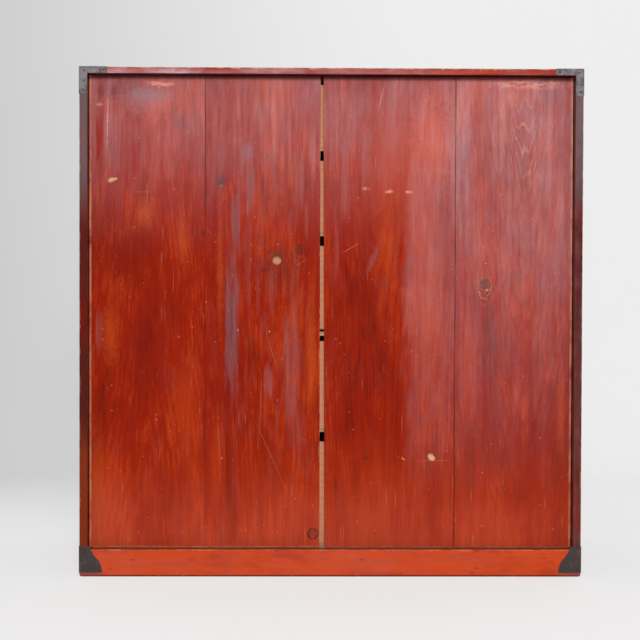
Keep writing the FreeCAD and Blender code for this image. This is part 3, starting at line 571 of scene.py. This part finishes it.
class Finish(Graph):
    """A material in the making: its Principled BSDF, the point on the object and the colour so far."""

    def __init__(self, name):
        self.material = bpy.data.materials.new(name)
        self.material.use_nodes = True
        super().__init__(self.material.node_tree)
        self.tree.nodes.clear()
        self.surface = self.node("ShaderNodeBsdfPrincipled")
        self.sink = self.node("ShaderNodeOutputMaterial", {"Surface": self.surface.outputs[0]})
        self.point = Place(self, self.node("ShaderNodeTexCoord").outputs["Object"])
        self.base = None

    def over(self, colour, mask):
        """Lays a colour over what is there."""
        self.base = self.mix(mask, self.base, paint(colour))

    def along_grain(self, grain):
        """The point, turned so that the grain runs along Z."""
        axes = self.point.axes()
        inputs = {place: axes[axis] for place, axis in enumerate(GRAIN_ORDER[grain])}
        return Place(self, self.node("ShaderNodeCombineXYZ", inputs).outputs[0])

    def facing(self):
        """The way that the surface faces, along each axis."""
        return Place(self, self.node("ShaderNodeNewGeometry").outputs["True Normal"]).axes()

    def set(self, inputs):
        for label, value in inputs.items():
            self.feed(self.surface.inputs[label], value)

    def close(self, height, bump, inputs):
        """Sets the shader's inputs, and its bump, by strength and depth, from a height."""
        strength, depth = bump
        made = self.node("ShaderNodeBump", {"Height": height, "Strength": strength, "Distance": depth})
        self.set({"Base Color": self.base, "Normal": made.outputs[0], **inputs})
        return self.material


def board_heart(low, high, grain):
    """Where a board's rings are centred, with its grain along Z: at its middle, but beside its thin way."""
    middle = (low + high) / 2
    thin = min(range(3), key=lambda axis: high[axis] - low[axis])
    middle[thin] += HEART_DEPTH
    return Vector([middle[axis] for axis in GRAIN_ORDER[grain]])


def lacquer_coat(graph, point, seed, colours, film, heart, taper=0.10):
    """Lays on brushed lacquer over grain along Z, with a dull film. Gives its relief and its growth rings."""
    deep, middle, bright = colours
    wood = graph.effect(wood_grain, point, seed, rings=230.0, heart=heart, taper=taper)
    flow = graph.effect(lacquer_flow, point, seed)
    lines = wood["Lines"] * flow["Mottle"].ramp(0.1, 0.9, 0.4, 1.0)
    body = (flow["Broad"] * 0.34 + flow["Mottle"] * 0.34 + flow["Brush"] * 0.16 + wood["Figure"] * 0.20
            + flow["Grit"] * 0.10 + wood["Pores"] * -0.18 + lines * -0.17)
    graph.base = paint(deep)
    graph.over(middle, body.ramp(-0.02, 0.38))
    graph.over(bright, body.ramp(0.38, 0.90))
    graph.over(deep, flow["Sags"] * 0.46)
    graph.over("lacquer_film", flow["Film"] * flow["Broad"].ramp(0.2, 0.9, 0.3, 1.0) * film)
    relief = wood["Pores"] * -0.12 + wood["Lines"] * -0.20 + flow["Grit"] * 0.12 + flow["Broad"] * 0.5
    return relief, wood["Growth"]


def close_lacquer(graph, rough, haze, worn, relief):
    """Ends a lacquer: rougher where it is hazed or worn, and lower where it is worn."""
    inputs = {"Roughness": haze * 0.8 + rough + worn * 0.3, "Specular IOR Level": LACQUER_SPECULAR}
    return graph.close(relief + worn * -0.9, LACQUER_BUMP, inputs)


# Where a tone on the case starts and where it is full, in metres
# Where the painted grey reflection tops the sides' lips, and where the painted orange highlight rises from
# their foot.
GREY = (0.66, 0.80)
RUBBED = (0.32, 0.22)
LIP = (CASE_HIGH.y - 0.014, CASE_HIGH.y - 0.001)
FOOT_DARK = (0.0046, 0.0030)
CORNER = (CASE_HIGH.x - 0.060, CASE_HIGH.x - 0.020)
TRODDEN = (0.0110, 0.0070)

# How far to each side the haze leans, and the recess of the back panels, into which shade is painted
LEAN_REACH = 0.25
REBATE_HALF = PANEL_HIGH.x + 0.0012
REBATE_SOOT = 0.010
REBATE_MOUTH = CASE_HIGH.y - 0.002


def lacquer(name, node, grain, seed, colours=RED_COAT, film=0.25, haze=0.1, dust=0.25, lean=0.0, wear=0.0018,
            wear_amount=0.6, dent_size=0.36, rebate=False, base_rail=False, grey_top=0.0, red_foot=0.0):
    """Worn lacquer on one board of the case or on a drawer front. lean is how much more of the haze lies
    towards +X. rebate paints shade into the recess of the back panels; base_rail darkens the top of a rail
    below them, and paints shade and dirt at its foot. grey_top and red_foot are how much painted grey
    reflection an upright board has at its top, and how much painted orange highlight at its foot."""
    graph = Finish(name)
    point = graph.point
    low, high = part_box(node)
    turned = graph.along_grain(grain)
    relief = lacquer_coat(graph, turned, seed, colours, film, board_heart(low, high, grain))[0]
    edges = graph.effect(board_edges, point, seed, low=low, high=high, width=wear)["Wear"]
    chips = graph.effect(specks, point, seed, scale=15.0, size=0.05)["Chips"]
    long = turned.stretch((1.0, 1.0, 0.45))
    dents = graph.effect(specks, long, seed + 3, scale=120.0, size=dent_size)["Chips"]
    marks = graph.effect(scratches, turned, seed)["Marks"]
    bloom = graph.effect(bloom_streaks, turned, seed)
    upward = graph.facing()[2]
    settled = upward.ramp(0.6, 0.95) * bloom["Fine"].span(0.4, 1.0) * dust
    patchy = turned.noise(60.0, seed, 5.0, 0.7, along=0.4).ramp(0.34, 0.66, 0.5, 1.3)
    x, y, z = point.axes()
    uneven = x.ramp(-LEAN_REACH, LEAN_REACH, 1.0 - lean, 1.0 + lean)
    haze = (bloom["Streak"] * patchy * uneven * haze).most(settled)
    graph.over("bloom", haze)
    graph.over(colours[2], marks * 0.40)
    graph.over("stain", dents * 0.32)
    if grey_top or red_foot:
        # Painted reflection and highlight on the rear lip of an upright board: grey towards its top, orange
        # towards its foot.
        lip = y.ramp(*LIP)
        graph.over("iron_dust", lip * z.ramp(*GREY, 0.0, grey_top))
        graph.over("lacquer_orange", lip * z.ramp(*RUBBED, 0.0, red_foot))
    if base_rail:
        # Painted shade and dirt at the foot of a base rail: darker towards its bottom edge, partly a painted
        # contact shadow.
        dark = z.ramp(*FOOT_DARK, 0.0, 0.8)
        graph.over("case_dark", upward.ramp(0.6, 0.95, 0.0, 0.7).most(dark))
        trodden = z.ramp(*TRODDEN, 0.0, 0.8)
        graph.over("lacquer_film", abs(x).ramp(*CORNER) * trodden)
    worn = (edges * wear_amount).most(chips)
    graph.over("scrape" if base_rail else "chip", worn)
    # Painted shade: the recess behind the back panels is darkened on the case's boards, in the rebate's
    # colour.
    if rebate:
        inside = (abs(x) < REBATE_HALF) * (z < PANEL_HIGH.z + REBATE_SOOT)
        graph.over("rebate", inside * (y > PANEL_FACE - REBATE_SOOT) * (y < REBATE_MOUTH) * 0.92)
    return close_lacquer(graph, BOARD_ROUGH, haze, worn, relief + marks * -0.15 + dents * -0.4)


def bare_wood(name, grain, seed, colours=("bare_pale", "bare_brown"), lines=0.65):
    """Bare softwood, aged and a little dirty."""
    graph = Finish(name)
    pale, brown = colours
    wood = graph.effect(wood_grain, graph.along_grain(grain), seed, rings=190.0, taper=0.06)
    stains = graph.point.noise(6.0, seed, 4.0, 0.6)
    late = wood["Lines"] * lines + wood["Pores"] * 0.3
    graph.base = paint(pale)
    graph.over(brown, late)
    graph.over(brown, stains.ramp(0.48, 0.85, 0.0, 0.6))
    inputs = {"Roughness": late.span(0.72, 0.58), "Specular IOR Level": WOOD_SPECULAR}
    return graph.close(late, WOOD_BUMP, inputs)


def black_iron(name, seed, dust=0.1, rubbed=0.45):
    """Blackened iron, rubbed and rusted in places, and dusty; where the dust is thick it is partly a painted
    reflection of the sky.
    """
    graph = Finish(name)
    skin = graph.effect(iron_skin, graph.point, seed)
    cloud = graph.point.noise(75.0, seed, 5.0, 0.65)
    graph.base = paint("iron_black")
    graph.over("iron_rust", skin["Rust"] * 0.75)
    graph.over("iron_worn", skin["Rubbed"] * rubbed)
    graph.over("iron_dust", cloud.ramp(0.36, 0.60, 0.2 * dust, 1.1 * dust))
    inputs = {"Metallic": skin["Rust"].span(0.55, 0.1), "Roughness": skin["Rubbed"].span(0.60, 0.42)}
    return graph.close(skin["Height"], IRON_BUMP, inputs)


# Where a tone on the back panels starts and where it is full, in metres
FOOT_LIGHT = (0.30, PANEL_LOW.z)
SHADE = (PANEL_HIGH.z - 0.009, PANEL_HIGH.z - 0.001)
SHELTER = (PANEL_HIGH.z - 0.012, PANEL_HIGH.z - 0.004)
SEAM = (0.0016, 0.0004)
OUTER = (PANEL_HIGH.x - 0.0052, PANEL_HIGH.x - 0.0030)
FOOT_RUB = (PANEL_LOW.z + 0.0030, PANEL_LOW.z + 0.0014)

# How wide the worn edges are, and how strokes across a board are drawn out
PANEL_WEAR = 0.0013
ACROSS = (0.3, 1.0, 1.0)


def panel_bloom(graph, seed, bloom):
    """The bloom of a back board, with a painted reflection of the light laid into it: thick at the top, and
    reaching lower down on the −X side.
    """
    x, y, z = graph.point.axes()
    edge = x + (graph.point.stretch(ACROSS).noise(14.0, seed, 4.0, 0.6) - 0.5) * 0.030
    # Partly a painted reflection of light from above: the haze grows towards the top.
    upper = z.ramp(0.60, 1.0, 0.0, 0.19)
    foot = z.ramp(0.22, 0.08, 0.0, 0.022)
    # Partly a painted reflection of light from the −X side: there the haze reaches lower down.
    damp = edge.ramp(-0.136, -0.160) * z.ramp(0.02, 0.95, 0.0, 0.22)
    streaks = bloom["Streak"].span(0.70, 1.12) * bloom["Fine"].span(0.82, 1.14)
    patchy = graph.point.noise(80.0, seed, 6.0, 0.72, along=0.22).ramp(0.32, 0.66, 0.72, 1.18)
    return upper.most(damp).most(foot) * streaks * patchy


def panel_marks(graph, board, seed, bloom, growth):
    """Lays the marks of its age on a back board. Gives its bloom and how far it is chipped."""
    haze, chipped = panel_bloom(graph, seed, bloom), 0.0
    lines = graph.point.noise(240.0, seed, 3.0, 0.6, along=0.06).ramp(0.52, 0.66)
    for number, mark in enumerate(MARKS[board]):
        mask = mark.mask(graph, seed + number) * mark.strength
        if mark.colour == "bloom":
            haze = haze.most(mask)
        elif mark.colour == "clear":
            haze = haze * (mask * -1.0 + 1.0)
        elif mark.colour == "chip":
            chipped = mask.most(chipped)
        elif mark.colour == "gold_pores":
            graph.over("scrape", mask * growth.fold(480.0).ramp(0.72, 0.98) * lines.ramp(0.0, 0.7, 0.35, 1.0))
        elif mark.colour == "scour":
            strokes = graph.point.stretch(ACROSS).noise(190.0, seed, 3.0, 0.65)
            graph.over("scrape", mask * strokes.ramp(0.40, 0.56))
        elif mark.colour == "scuff":
            graph.over("lacquer_orange", mask * lines)
        elif mark.colour in ("bloom_cool", "bloom_pink"):
            graph.over(mark.colour, mask * bloom["Fine"].span(0.75, 1.0))
        else:
            graph.over(mark.colour, mask)
    return haze, chipped


def panel_knots(graph, board):
    """Lays the knots on a back board. Gives how dark they are."""
    cracks = 0.0
    for knot in KNOTS.get(board, ()):
        rings = graph.effect(knot_rings, graph.point, centre=knot.centre, radius=knot.radius)
        graph.over("scrape", rings["Pale"] * knot.pale)
        dark = (rings["Crack"] * knot.crack).most(rings["Core"] * knot.core).most(rings["Swirl"] * knot.swirl)
        graph.over("stain", dark)
        cracks = dark.most(cracks)
    return cracks


def panel_lacquer(name, board, box, joint, seed):
    """The lacquer of one back board: streaky, with bloom on its upper part and the marks of its age."""
    graph = Finish(name)
    point = graph.point
    x, y, z = point.axes()
    heart = Vector((HEARTS[board], PANEL_FACE - HEART_DEPTH, PANEL_LOW.z))
    relief, growth = lacquer_coat(graph, point, seed, RED_COAT, PANEL_FILM[board], heart, TAPERS[board])
    bloom = graph.effect(bloom_streaks, point, seed)
    # Brighter towards the foot of the board, in streaks.
    thin = bloom["Streak"].ramp(0.1, 0.9, 0.5, 1.0) * bloom["Fine"].span(0.8, 1.0)
    graph.over("base_bright", z.ramp(*FOOT_LIGHT, 0.0, 0.62) * thin)
    # Painted shade and soot on the lost knot's hole and the board's edge faces: faces that do not look along
    # Y are darkened.
    graph.over("stain", abs(graph.facing()[1]).ramp(0.5, 0.1, 0.0, 0.6))
    haze, chipped = panel_marks(graph, board, seed, bloom, growth)
    cracks = panel_knots(graph, board)
    # The haze is real bloom with a painted reflection of the light laid into it.
    graph.over("bloom", haze)
    edges = graph.effect(board_edges, point, seed, low=box[0], high=box[1], width=PANEL_WEAR)["Wear"]
    chips = graph.effect(specks, point, seed, scale=17.0, size=0.04)["Chips"]
    marks = graph.effect(scratches, point, seed)["Marks"]
    flecks = graph.effect(specks, point, seed + 6, scale=115.0, size=0.30)["Chips"]
    # Painted shade below the top board's lip, in the rebate's colour.
    graph.over("rebate", z.ramp(*SHADE, 0.0, 0.75))
    gaping = point.stretch((0.0, 0.0, 1.0)).noise(9.0, joint, 3.0).ramp(0.35, 0.65, 0.25, 0.8)
    closed = z.ramp(0.50, 0.70, 0.25, 1.0) if joint > 0 else 1.0
    graph.over("rebate", abs(x - joint).ramp(*SEAM) * gaping * closed)
    graph.over("chip", marks * 0.16)
    graph.over("scrape", flecks * 0.24)
    ragged = point.noise(90.0, seed, 4.0, 0.65, along=0.35).ramp(0.34, 0.60, 0.10, 0.66)
    foot = z.ramp(*FOOT_RUB, 0.0, 0.8 if joint > 0 else 0.3)
    graph.over("scrape", abs(x).ramp(*OUTER).most(foot) * ragged)
    sheltered = z.ramp(*SHELTER, 1.0, 0.0)
    worn = (edges * sheltered * 0.3).most(chips).most(chipped)
    graph.over("chip", worn)
    return close_lacquer(graph, PANEL_ROUGH, haze, worn, relief + marks * -0.15 + cracks * -0.5)


# Meshes

MERGE_REACH = 0.00001
JUST_INSIDE = 0.0001
FLAT_ANGLE = math.radians(1)
SHARP_ANGLE = math.radians(40)
EASE_SEGMENTS = 2


def add_object(name, data):
    made = bpy.data.objects.new(name, data)
    bpy.context.scene.collection.objects.link(made)
    return made


def finish_mesh(mesh, name, material):
    """Turns a bmesh into an object."""
    data = bpy.data.meshes.new(name)
    mesh.to_mesh(data)
    mesh.free()
    data.materials.append(material)
    return add_object(name, data)


def finish_piece(mesh, name, body, slot, material):
    """Turns a bmesh into a piece that rides on a body."""
    piece = finish_mesh(mesh, name, material)
    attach(piece, body)
    return piece


def dress(node, material, ease=0.0):
    """Gives a CAD node its finish, and rounds its sharp edges where an ease is given."""
    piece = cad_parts[node]
    piece.data.materials.clear()
    piece.data.materials.append(material)
    if ease:
        weld = piece.modifiers.new("Join corners", "WELD")
        weld.merge_threshold = MERGE_REACH
        flat = piece.modifiers.new("Join flats", "DECIMATE")
        flat.decimate_type = "DISSOLVE"
        flat.angle_limit = FLAT_ANGLE
        bevel = piece.modifiers.new("Ease edges", "BEVEL")
        bevel.width = ease
        bevel.segments = EASE_SEGMENTS
        bevel.limit_method = "ANGLE"
        bevel.angle_limit = SHARP_ANGLE
        bevel.use_clamp_overlap = True


def board_copy(node, keeps):
    """The faces of one board of a CAD node, joined up. keeps tells them by a point just inside a face."""
    mesh = bmesh.new()
    mesh.from_mesh(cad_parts[node].data)
    gone = [face for face in mesh.faces if not keeps(face.calc_center_median() - face.normal * JUST_INSIDE)]
    bmesh.ops.delete(mesh, geom=gone, context="FACES")
    bmesh.ops.remove_doubles(mesh, verts=mesh.verts, dist=MERGE_REACH)
    bmesh.ops.dissolve_limit(mesh, angle_limit=FLAT_ANGLE, verts=mesh.verts, edges=mesh.edges)
    return mesh


def ease_mesh(mesh, radius):
    """Rounds a board's sharp edges."""
    sharp = [edge for edge in mesh.edges if edge.is_manifold and edge.calc_face_angle() > SHARP_ANGLE]
    bmesh.ops.bevel(mesh, geom=sharp, offset=radius, segments=EASE_SEGMENTS, profile=0.5, affect="EDGES",
                    material=-1, clamp_overlap=True)


def add_nail(mesh, place, outward):
    """A flattened, domed nail head."""
    values = sizes()
    turn = Vector((0, 0, 1)).rotation_difference(outward).to_matrix().to_4x4()
    shape = Matrix.Diagonal((values.nail_radius, values.nail_radius, values.nail_rise, 1))
    matrix = Matrix.Translation(place) @ turn @ shape
    bmesh.ops.create_icosphere(mesh, subdivisions=2, radius=1, matrix=matrix)


# Operators

# The first seed of each group of like pieces
SEEDS = {"top_board": 0, "sides": 1, "base": 10, "rails": 20, "inner_boards": 30, "back_boards": 40,
         "irons": 50, "drawer_boxes": 59, "drawer_fronts": 62, "pulls": 70}


class CHEST_OT_case(Operator):
    """Lacquer the case's boards, its base frame and its front rails"""
    bl_idname = "chest.case"
    bl_label = "Case"

    def execute(self, context):
        ease = sizes().board_ease
        # The top board's haze is partly bloom and partly a painted reflection of the sky on its rear edge.
        top = lacquer("Lacquer top board", "top_board", GRAIN_X, SEEDS["top_board"], haze=0.40, wear=0.0026,
                      rebate=True, lean=0.6)
        dress("top_board", top, ease)
        # Each side: its haze, then how much painted grey reflection tops its lip and painted orange highlight
        # its foot.
        sides = (("left", 0.11, 0.24, 0.05), ("right", 0.0, 0.34, 0.25))
        for seed, (side, haze, grey, red) in enumerate(sides, SEEDS["sides"]):
            node = f"{side}_side"
            dress(node, lacquer(f"Lacquer {side} side", node, GRAIN_Z, seed, DARK_COAT, film=0.0, haze=haze,
                                wear_amount=0.3, rebate=True, grey_top=grey, red_foot=red), ease)
        for seed, place in enumerate(("front", "back", "left", "right"), SEEDS["base"]):
            node = f"base_{place}_rail"
            grain = GRAIN_X if place in ("front", "back") else GRAIN_Y
            coat = BASE_COAT if place == "back" else FRONT_BASE_COAT
            dress(node, lacquer(f"Lacquer {node}", node, grain, seed, coat, film=0.2, haze=0.04, dust=0.0,
                                wear_amount=0.45, base_rail=True, dent_size=0.42), ease)
        for seed, node in enumerate(RAILS, SEEDS["rails"]):
            dress(node, lacquer(f"Lacquer {node}", node, GRAIN_X, seed), sizes().drawer_ease)
        return {"FINISHED"}


class CHEST_OT_inner_boards(Operator):
    """Finish the bare boards inside the case"""
    bl_idname = "chest.inner_boards"
    bl_label = "Inner boards"

    def execute(self, context):
        seed = SEEDS["inner_boards"]
        across = bare_wood("Bare wood across", GRAIN_X, seed)
        along = bare_wood("Bare wood along", GRAIN_Y, seed + 1)
        for node in BARE_SHELVES:
            dress(node, along if node.endswith("runners") else across)
        return {"FINISHED"}


HOLE_CENTRE = Vector((0.1055, PANEL_FACE, 0.615))
HOLE_REACH = 0.014


class CHEST_OT_back_panels(Operator):
    """Model the four back boards"""
    bl_idname = "chest.back_panels"
    bl_label = "Back panels"

    def execute(self, context):
        values = sizes()
        seed = SEEDS["back_boards"]
        for side, joint in (("right", values.panel_joint_right), ("left", -values.panel_joint_left)):
            node = f"back_panel_{side}"
            for place, way in (("inner", 1), ("outer", -1)):
                mesh = board_copy(node, lambda point: way * abs(point.x) < way * abs(joint))
                self.squeeze_hole(mesh)
                ease_mesh(mesh, values.panel_ease)
                board = f"{side}_{place}"
                material = panel_lacquer(f"Lacquer {side} {place} board", board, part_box(node), joint, seed)
                piece = finish_piece(mesh, f"{board}_board", "case", LACQUER, material)
                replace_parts(piece, node)
                seed += 1
        return {"FINISHED"}

    def squeeze_hole(self, mesh):
        """Makes the round hole of the lost knot oval, where a board has it."""
        rim = [vertex for vertex in mesh.verts
               if math.hypot(vertex.co.x - HOLE_CENTRE.x, vertex.co.z - HOLE_CENTRE.z) < HOLE_REACH]
        about = Matrix.Translation(-HOLE_CENTRE)
        bmesh.ops.scale(mesh, verts=rim, vec=(sizes().hole_squeeze, 1, 1), space=about)


# Places of the nails, across and up or down from a corner of the case
TOP_FACE_NAILS = ((0.0090, 0.0075), (0.0068, 0.0440), (0.0460, 0.0060))
TOP_END_NAILS = ((0.0260, 0.0120), (0.0260, 0.0430))
BOTTOM_NAILS = ((0.0060, 0.0060), (0.0370, 0.0050), (0.0070, 0.0460), (0.0140, 0.0250))


class CHEST_OT_irons(Operator):
    """Model the corner irons and drive their nails"""
    bl_idname = "chest.irons"
    bl_label = "Corner irons"

    def execute(self, context):
        seed = SEEDS["irons"]
        # Lit and shaded copies of one iron: the top irons' grey is partly a painted reflection of the sky,
        # the bottom irons are laid dark.
        self.make_irons("top", black_iron("Black iron top corners", seed, 0.60))
        self.make_irons("bottom", black_iron("Black iron bottom corners", seed + 1, 0.03, 0.12))
        nails = bmesh.new()
        self.drive_nails(nails, "top", TOP_FACE_NAILS, TOP_END_NAILS)
        self.drive_nails(nails, "bottom", BOTTOM_NAILS, BOTTOM_NAILS)
        finish_piece(nails, "iron_nails", "case", IRON, black_iron("Black iron nails", seed + 2, 0.0, 0.2))
        return {"FINISHED"}

    def make_irons(self, place, material):
        """The CAD irons, thinned by a nail's rise."""
        node = f"{place}_corner_irons"
        low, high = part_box(node)
        rise = sizes().nail_rise
        mesh = board_copy(node, lambda point: True)
        for vertex in mesh.verts:
            for axis in range(3):
                vertex.co[axis] = min(max(vertex.co[axis], low[axis] + rise), high[axis] - rise)
        ease_mesh(mesh, sizes().iron_ease)
        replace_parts(finish_piece(mesh, f"{place}_irons", "case", IRON, material), node)

    def drive_nails(self, mesh, place, face_nails, end_nails):
        """Nails on the back, the front and both ends of the case."""
        low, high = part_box(f"{place}_corner_irons")
        rise = sizes().nail_rise
        level, up = (CASE_HIGH.z, -1) if place == "top" else (low.z, 1)
        for sign in (-1, 1):
            for across, height in face_nails:
                x, z = sign * (CASE_HIGH.x - across), level + up * height
                for y, way in ((low.y + rise, -1), (high.y - rise, 1)):
                    add_nail(mesh, Vector((x, y, z)), Vector((0, way, 0)))
            for across, height in end_nails:
                x, z = sign * (high.x - rise), level + up * height
                for y in (CASE_LOW.y + across, CASE_HIGH.y - across):
                    add_nail(mesh, Vector((x, y, z)), Vector((sign, 0, 0)))


class CHEST_OT_drawers(Operator):
    """Finish the drawers: lacquered fronts and bare boxes"""
    bl_idname = "chest.drawers"
    bl_label = "Drawers"

    def execute(self, context):
        ease, seed = sizes().drawer_ease, SEEDS["drawer_boxes"]
        back = bare_wood("Drawer back wood", GRAIN_X, seed, ("back_pale", "back_brown"), 0.22)
        across = bare_wood("Drawer wood across", GRAIN_X, seed + 1)
        along = bare_wood("Drawer wood along", GRAIN_Y, seed + 2)
        for seed, drawer in enumerate(DRAWERS, SEEDS["drawer_fronts"]):
            front = f"{drawer}_front"
            coat = lacquer(f"Lacquer {front}", front, GRAIN_X, seed, wear=0.0012, wear_amount=0.35)
            dress(front, coat, ease)
            dress(f"{drawer}_sides", along)
            dress(f"{drawer}_bottom", across)
            dress(f"{drawer}_back", back, ease)
        return {"FINISHED"}


class CHEST_OT_pulls(Operator):
    """Finish the pulls and the locks"""
    bl_idname = "chest.pulls"
    bl_label = "Pulls and locks"

    def execute(self, context):
        iron = black_iron("Black iron pulls", SEEDS["pulls"])
        for drawer in DRAWERS:
            for fitting in ("cotters", "lock", "left_bail", "right_bail"):
                dress(f"{drawer}_{fitting}", iron)
        return {"FINISHED"}


CAMERA_PLACE = Vector((0.056, CASE_HIGH.y + 2.606, 0.545))
CAMERA_AIM = Vector((0.0219, CASE_HIGH.y, 0.4972))
CAMERA_ROLL = math.radians(0.18)
CAMERA_LENS = 76.05
SENSOR_WIDTH = 36.0
WALL_Y = CASE_HIGH.y - 1.727
WALL_SHADE = (-0.4, 1.6)
FLOOR_FADE = 1.5
STAGE_REACH = 7.0
COVE_RADIUS = 0.30
COVE_SEGMENTS = 12
SKY_STRENGTH = 0.42
SKY_SEEN = 0.80
BACKDROP_LIT = 0.40
BACKDROP_GLOW = 0.605
BACKDROP_ROUGH = 0.9
LIGHT_AIM = Vector((0, 0, 0.5))
LIGHT_POWER = 130.0
LIGHTS = (("Key light", Vector((-0.1, 4.4, 2.6)), 1.1), ("Front light", Vector((2.2, -4.6, 3.4)), 2.0))


class CHEST_OT_stage(Operator):
    """Set the floor, the wall, the lights and the camera"""
    bl_idname = "chest.stage"
    bl_label = "Stage"

    def execute(self, context):
        self.make_backdrop()
        self.make_world(context.scene)
        self.make_lights()
        self.make_camera(context.scene)
        return {"FINISHED"}

    def make_backdrop(self):
        """One sheet: the floor, a cove and the wall, which is seen from its front only."""
        mesh = bmesh.new()
        edge = mesh.edges.new([mesh.verts.new((x, STAGE_REACH, 0)) for x in (-STAGE_REACH, STAGE_REACH)])
        for move in (Vector((0, WALL_Y - STAGE_REACH, 0)), Vector((0, 0, STAGE_REACH))):
            made = bmesh.ops.extrude_edge_only(mesh, edges=[edge])["geom"]
            ends = [item for item in made if isinstance(item, bmesh.types.BMVert)]
            bmesh.ops.translate(mesh, verts=ends, vec=move)
            edge = next(item for item in made if isinstance(item, bmesh.types.BMEdge) and item.is_boundary
                        and all(vertex in ends for vertex in item.verts))
        corner = [item for item in mesh.edges if len(item.link_faces) == 2]
        bmesh.ops.bevel(mesh, geom=corner, offset=COVE_RADIUS, segments=COVE_SEGMENTS, profile=0.5,
                        affect="EDGES", material=-1)
        bmesh.ops.recalc_face_normals(mesh, faces=mesh.faces)
        if mesh.faces[0].normal.z < 0:
            bmesh.ops.reverse_faces(mesh, faces=mesh.faces)
        for face in mesh.faces:
            face.smooth = True
        finish_mesh(mesh, "backdrop", self.backdrop_paint())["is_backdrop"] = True

    def backdrop_paint(self):
        """Paint that looks pale, throws little light, and is clear from behind."""
        graph = Finish("Studio paint")
        x, y, z = graph.point.axes()
        wall = graph.mix(x.ramp(*WALL_SHADE), paint("wall_light"), paint("wall_shade"))
        floor = graph.mix(y.ramp(WALL_Y, WALL_Y + FLOOR_FADE), wall, paint("floor"))
        tone = graph.mix(z.ramp(0.0, COVE_RADIUS), floor, wall)
        seen, black = graph.seen(), (0.0, 0.0, 0.0, 1.0)
        graph.set({
            "Base Color": graph.mix(seen * (1.0 - BACKDROP_LIT), tone, black),
            "Roughness": BACKDROP_ROUGH,
            "Specular IOR Level": 0.0,
            "Emission Color": graph.mix(seen, black, tone),
            "Emission Strength": BACKDROP_GLOW,
        })
        behind = graph.node("ShaderNodeNewGeometry").outputs["Backfacing"]
        clear = graph.node("ShaderNodeBsdfTransparent")
        shaders = {0: behind, 1: graph.surface.outputs[0], 2: clear.outputs[0]}
        both = graph.node("ShaderNodeMixShader", shaders)
        graph.feed(graph.sink.inputs["Surface"], both.outputs[0])
        return graph.material

    def make_world(self, scene):
        world = bpy.data.worlds.new("Studio")
        world.use_nodes = True
        world.node_tree.nodes.clear()
        graph = Graph(world.node_tree)
        strength = graph.seen().span(SKY_STRENGTH, SKY_SEEN)
        sky = graph.node("ShaderNodeBackground", {"Color": paint("studio"), "Strength": strength})
        graph.node("ShaderNodeOutputWorld", {"Surface": sky.outputs[0]})
        scene.world = world

    def make_lights(self):
        for name, place, width in LIGHTS:
            lamp = bpy.data.lights.new(name, "AREA")
            lamp.size = width
            lamp.energy = LIGHT_POWER
            made = add_object(name, lamp)
            made.location = place
            made.rotation_mode = "QUATERNION"
            made.rotation_quaternion = (LIGHT_AIM - place).to_track_quat("-Z", "Y")

    def make_camera(self, scene):
        data = bpy.data.cameras.new("Camera")
        data.lens = CAMERA_LENS
        data.sensor_width = SENSOR_WIDTH
        camera = add_object("Camera", data)
        camera.location = CAMERA_PLACE
        aim = (CAMERA_AIM - CAMERA_PLACE).to_track_quat("-Z", "Y").to_matrix()
        camera.rotation_euler = (aim @ Matrix.Rotation(CAMERA_ROLL, 3, "Z")).to_euler()
        scene.camera = camera


class CHEST_PT_panel(Panel):
    """Lists the chest's pieces, sizes and colours"""
    bl_idname = "CHEST_PT_panel"
    bl_label = "Tansu Chest"
    bl_space_type = "VIEW_3D"
    bl_region_type = "UI"
    bl_category = "Tansu"

    def draw(self, context):
        for operator in OPERATORS:
            self.layout.operator(operator.bl_idname)
        for group in (context.scene.chest_sizes, context.scene.chest_colours):
            box = self.layout.box()
            for name in group.__annotations__:
                box.prop(group, name)


OPERATORS = (CHEST_OT_case, CHEST_OT_inner_boards, CHEST_OT_back_panels, CHEST_OT_irons, CHEST_OT_drawers,
             CHEST_OT_pulls, CHEST_OT_stage)
CLASSES = (ChestSizes, ChestColours, *OPERATORS, CHEST_PT_panel)


def register():
    for item in CLASSES:
        bpy.utils.register_class(item)
    bpy.types.Scene.chest_sizes = PointerProperty(type=ChestSizes)
    bpy.types.Scene.chest_colours = PointerProperty(type=ChestColours)


def unregister():
    del bpy.types.Scene.chest_colours
    del bpy.types.Scene.chest_sizes
    for item in reversed(CLASSES):
        bpy.utils.unregister_class(item)


def main():
    register()
    bpy.context.scene.view_settings.view_transform = "Standard"
    bpy.ops.chest.case()
    bpy.ops.chest.inner_boards()
    bpy.ops.chest.back_panels()
    bpy.ops.chest.irons()
    bpy.ops.chest.drawers()
    bpy.ops.chest.pulls()
    bpy.ops.chest.stage()
    low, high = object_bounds()


if __name__ == "__main__":
    main()
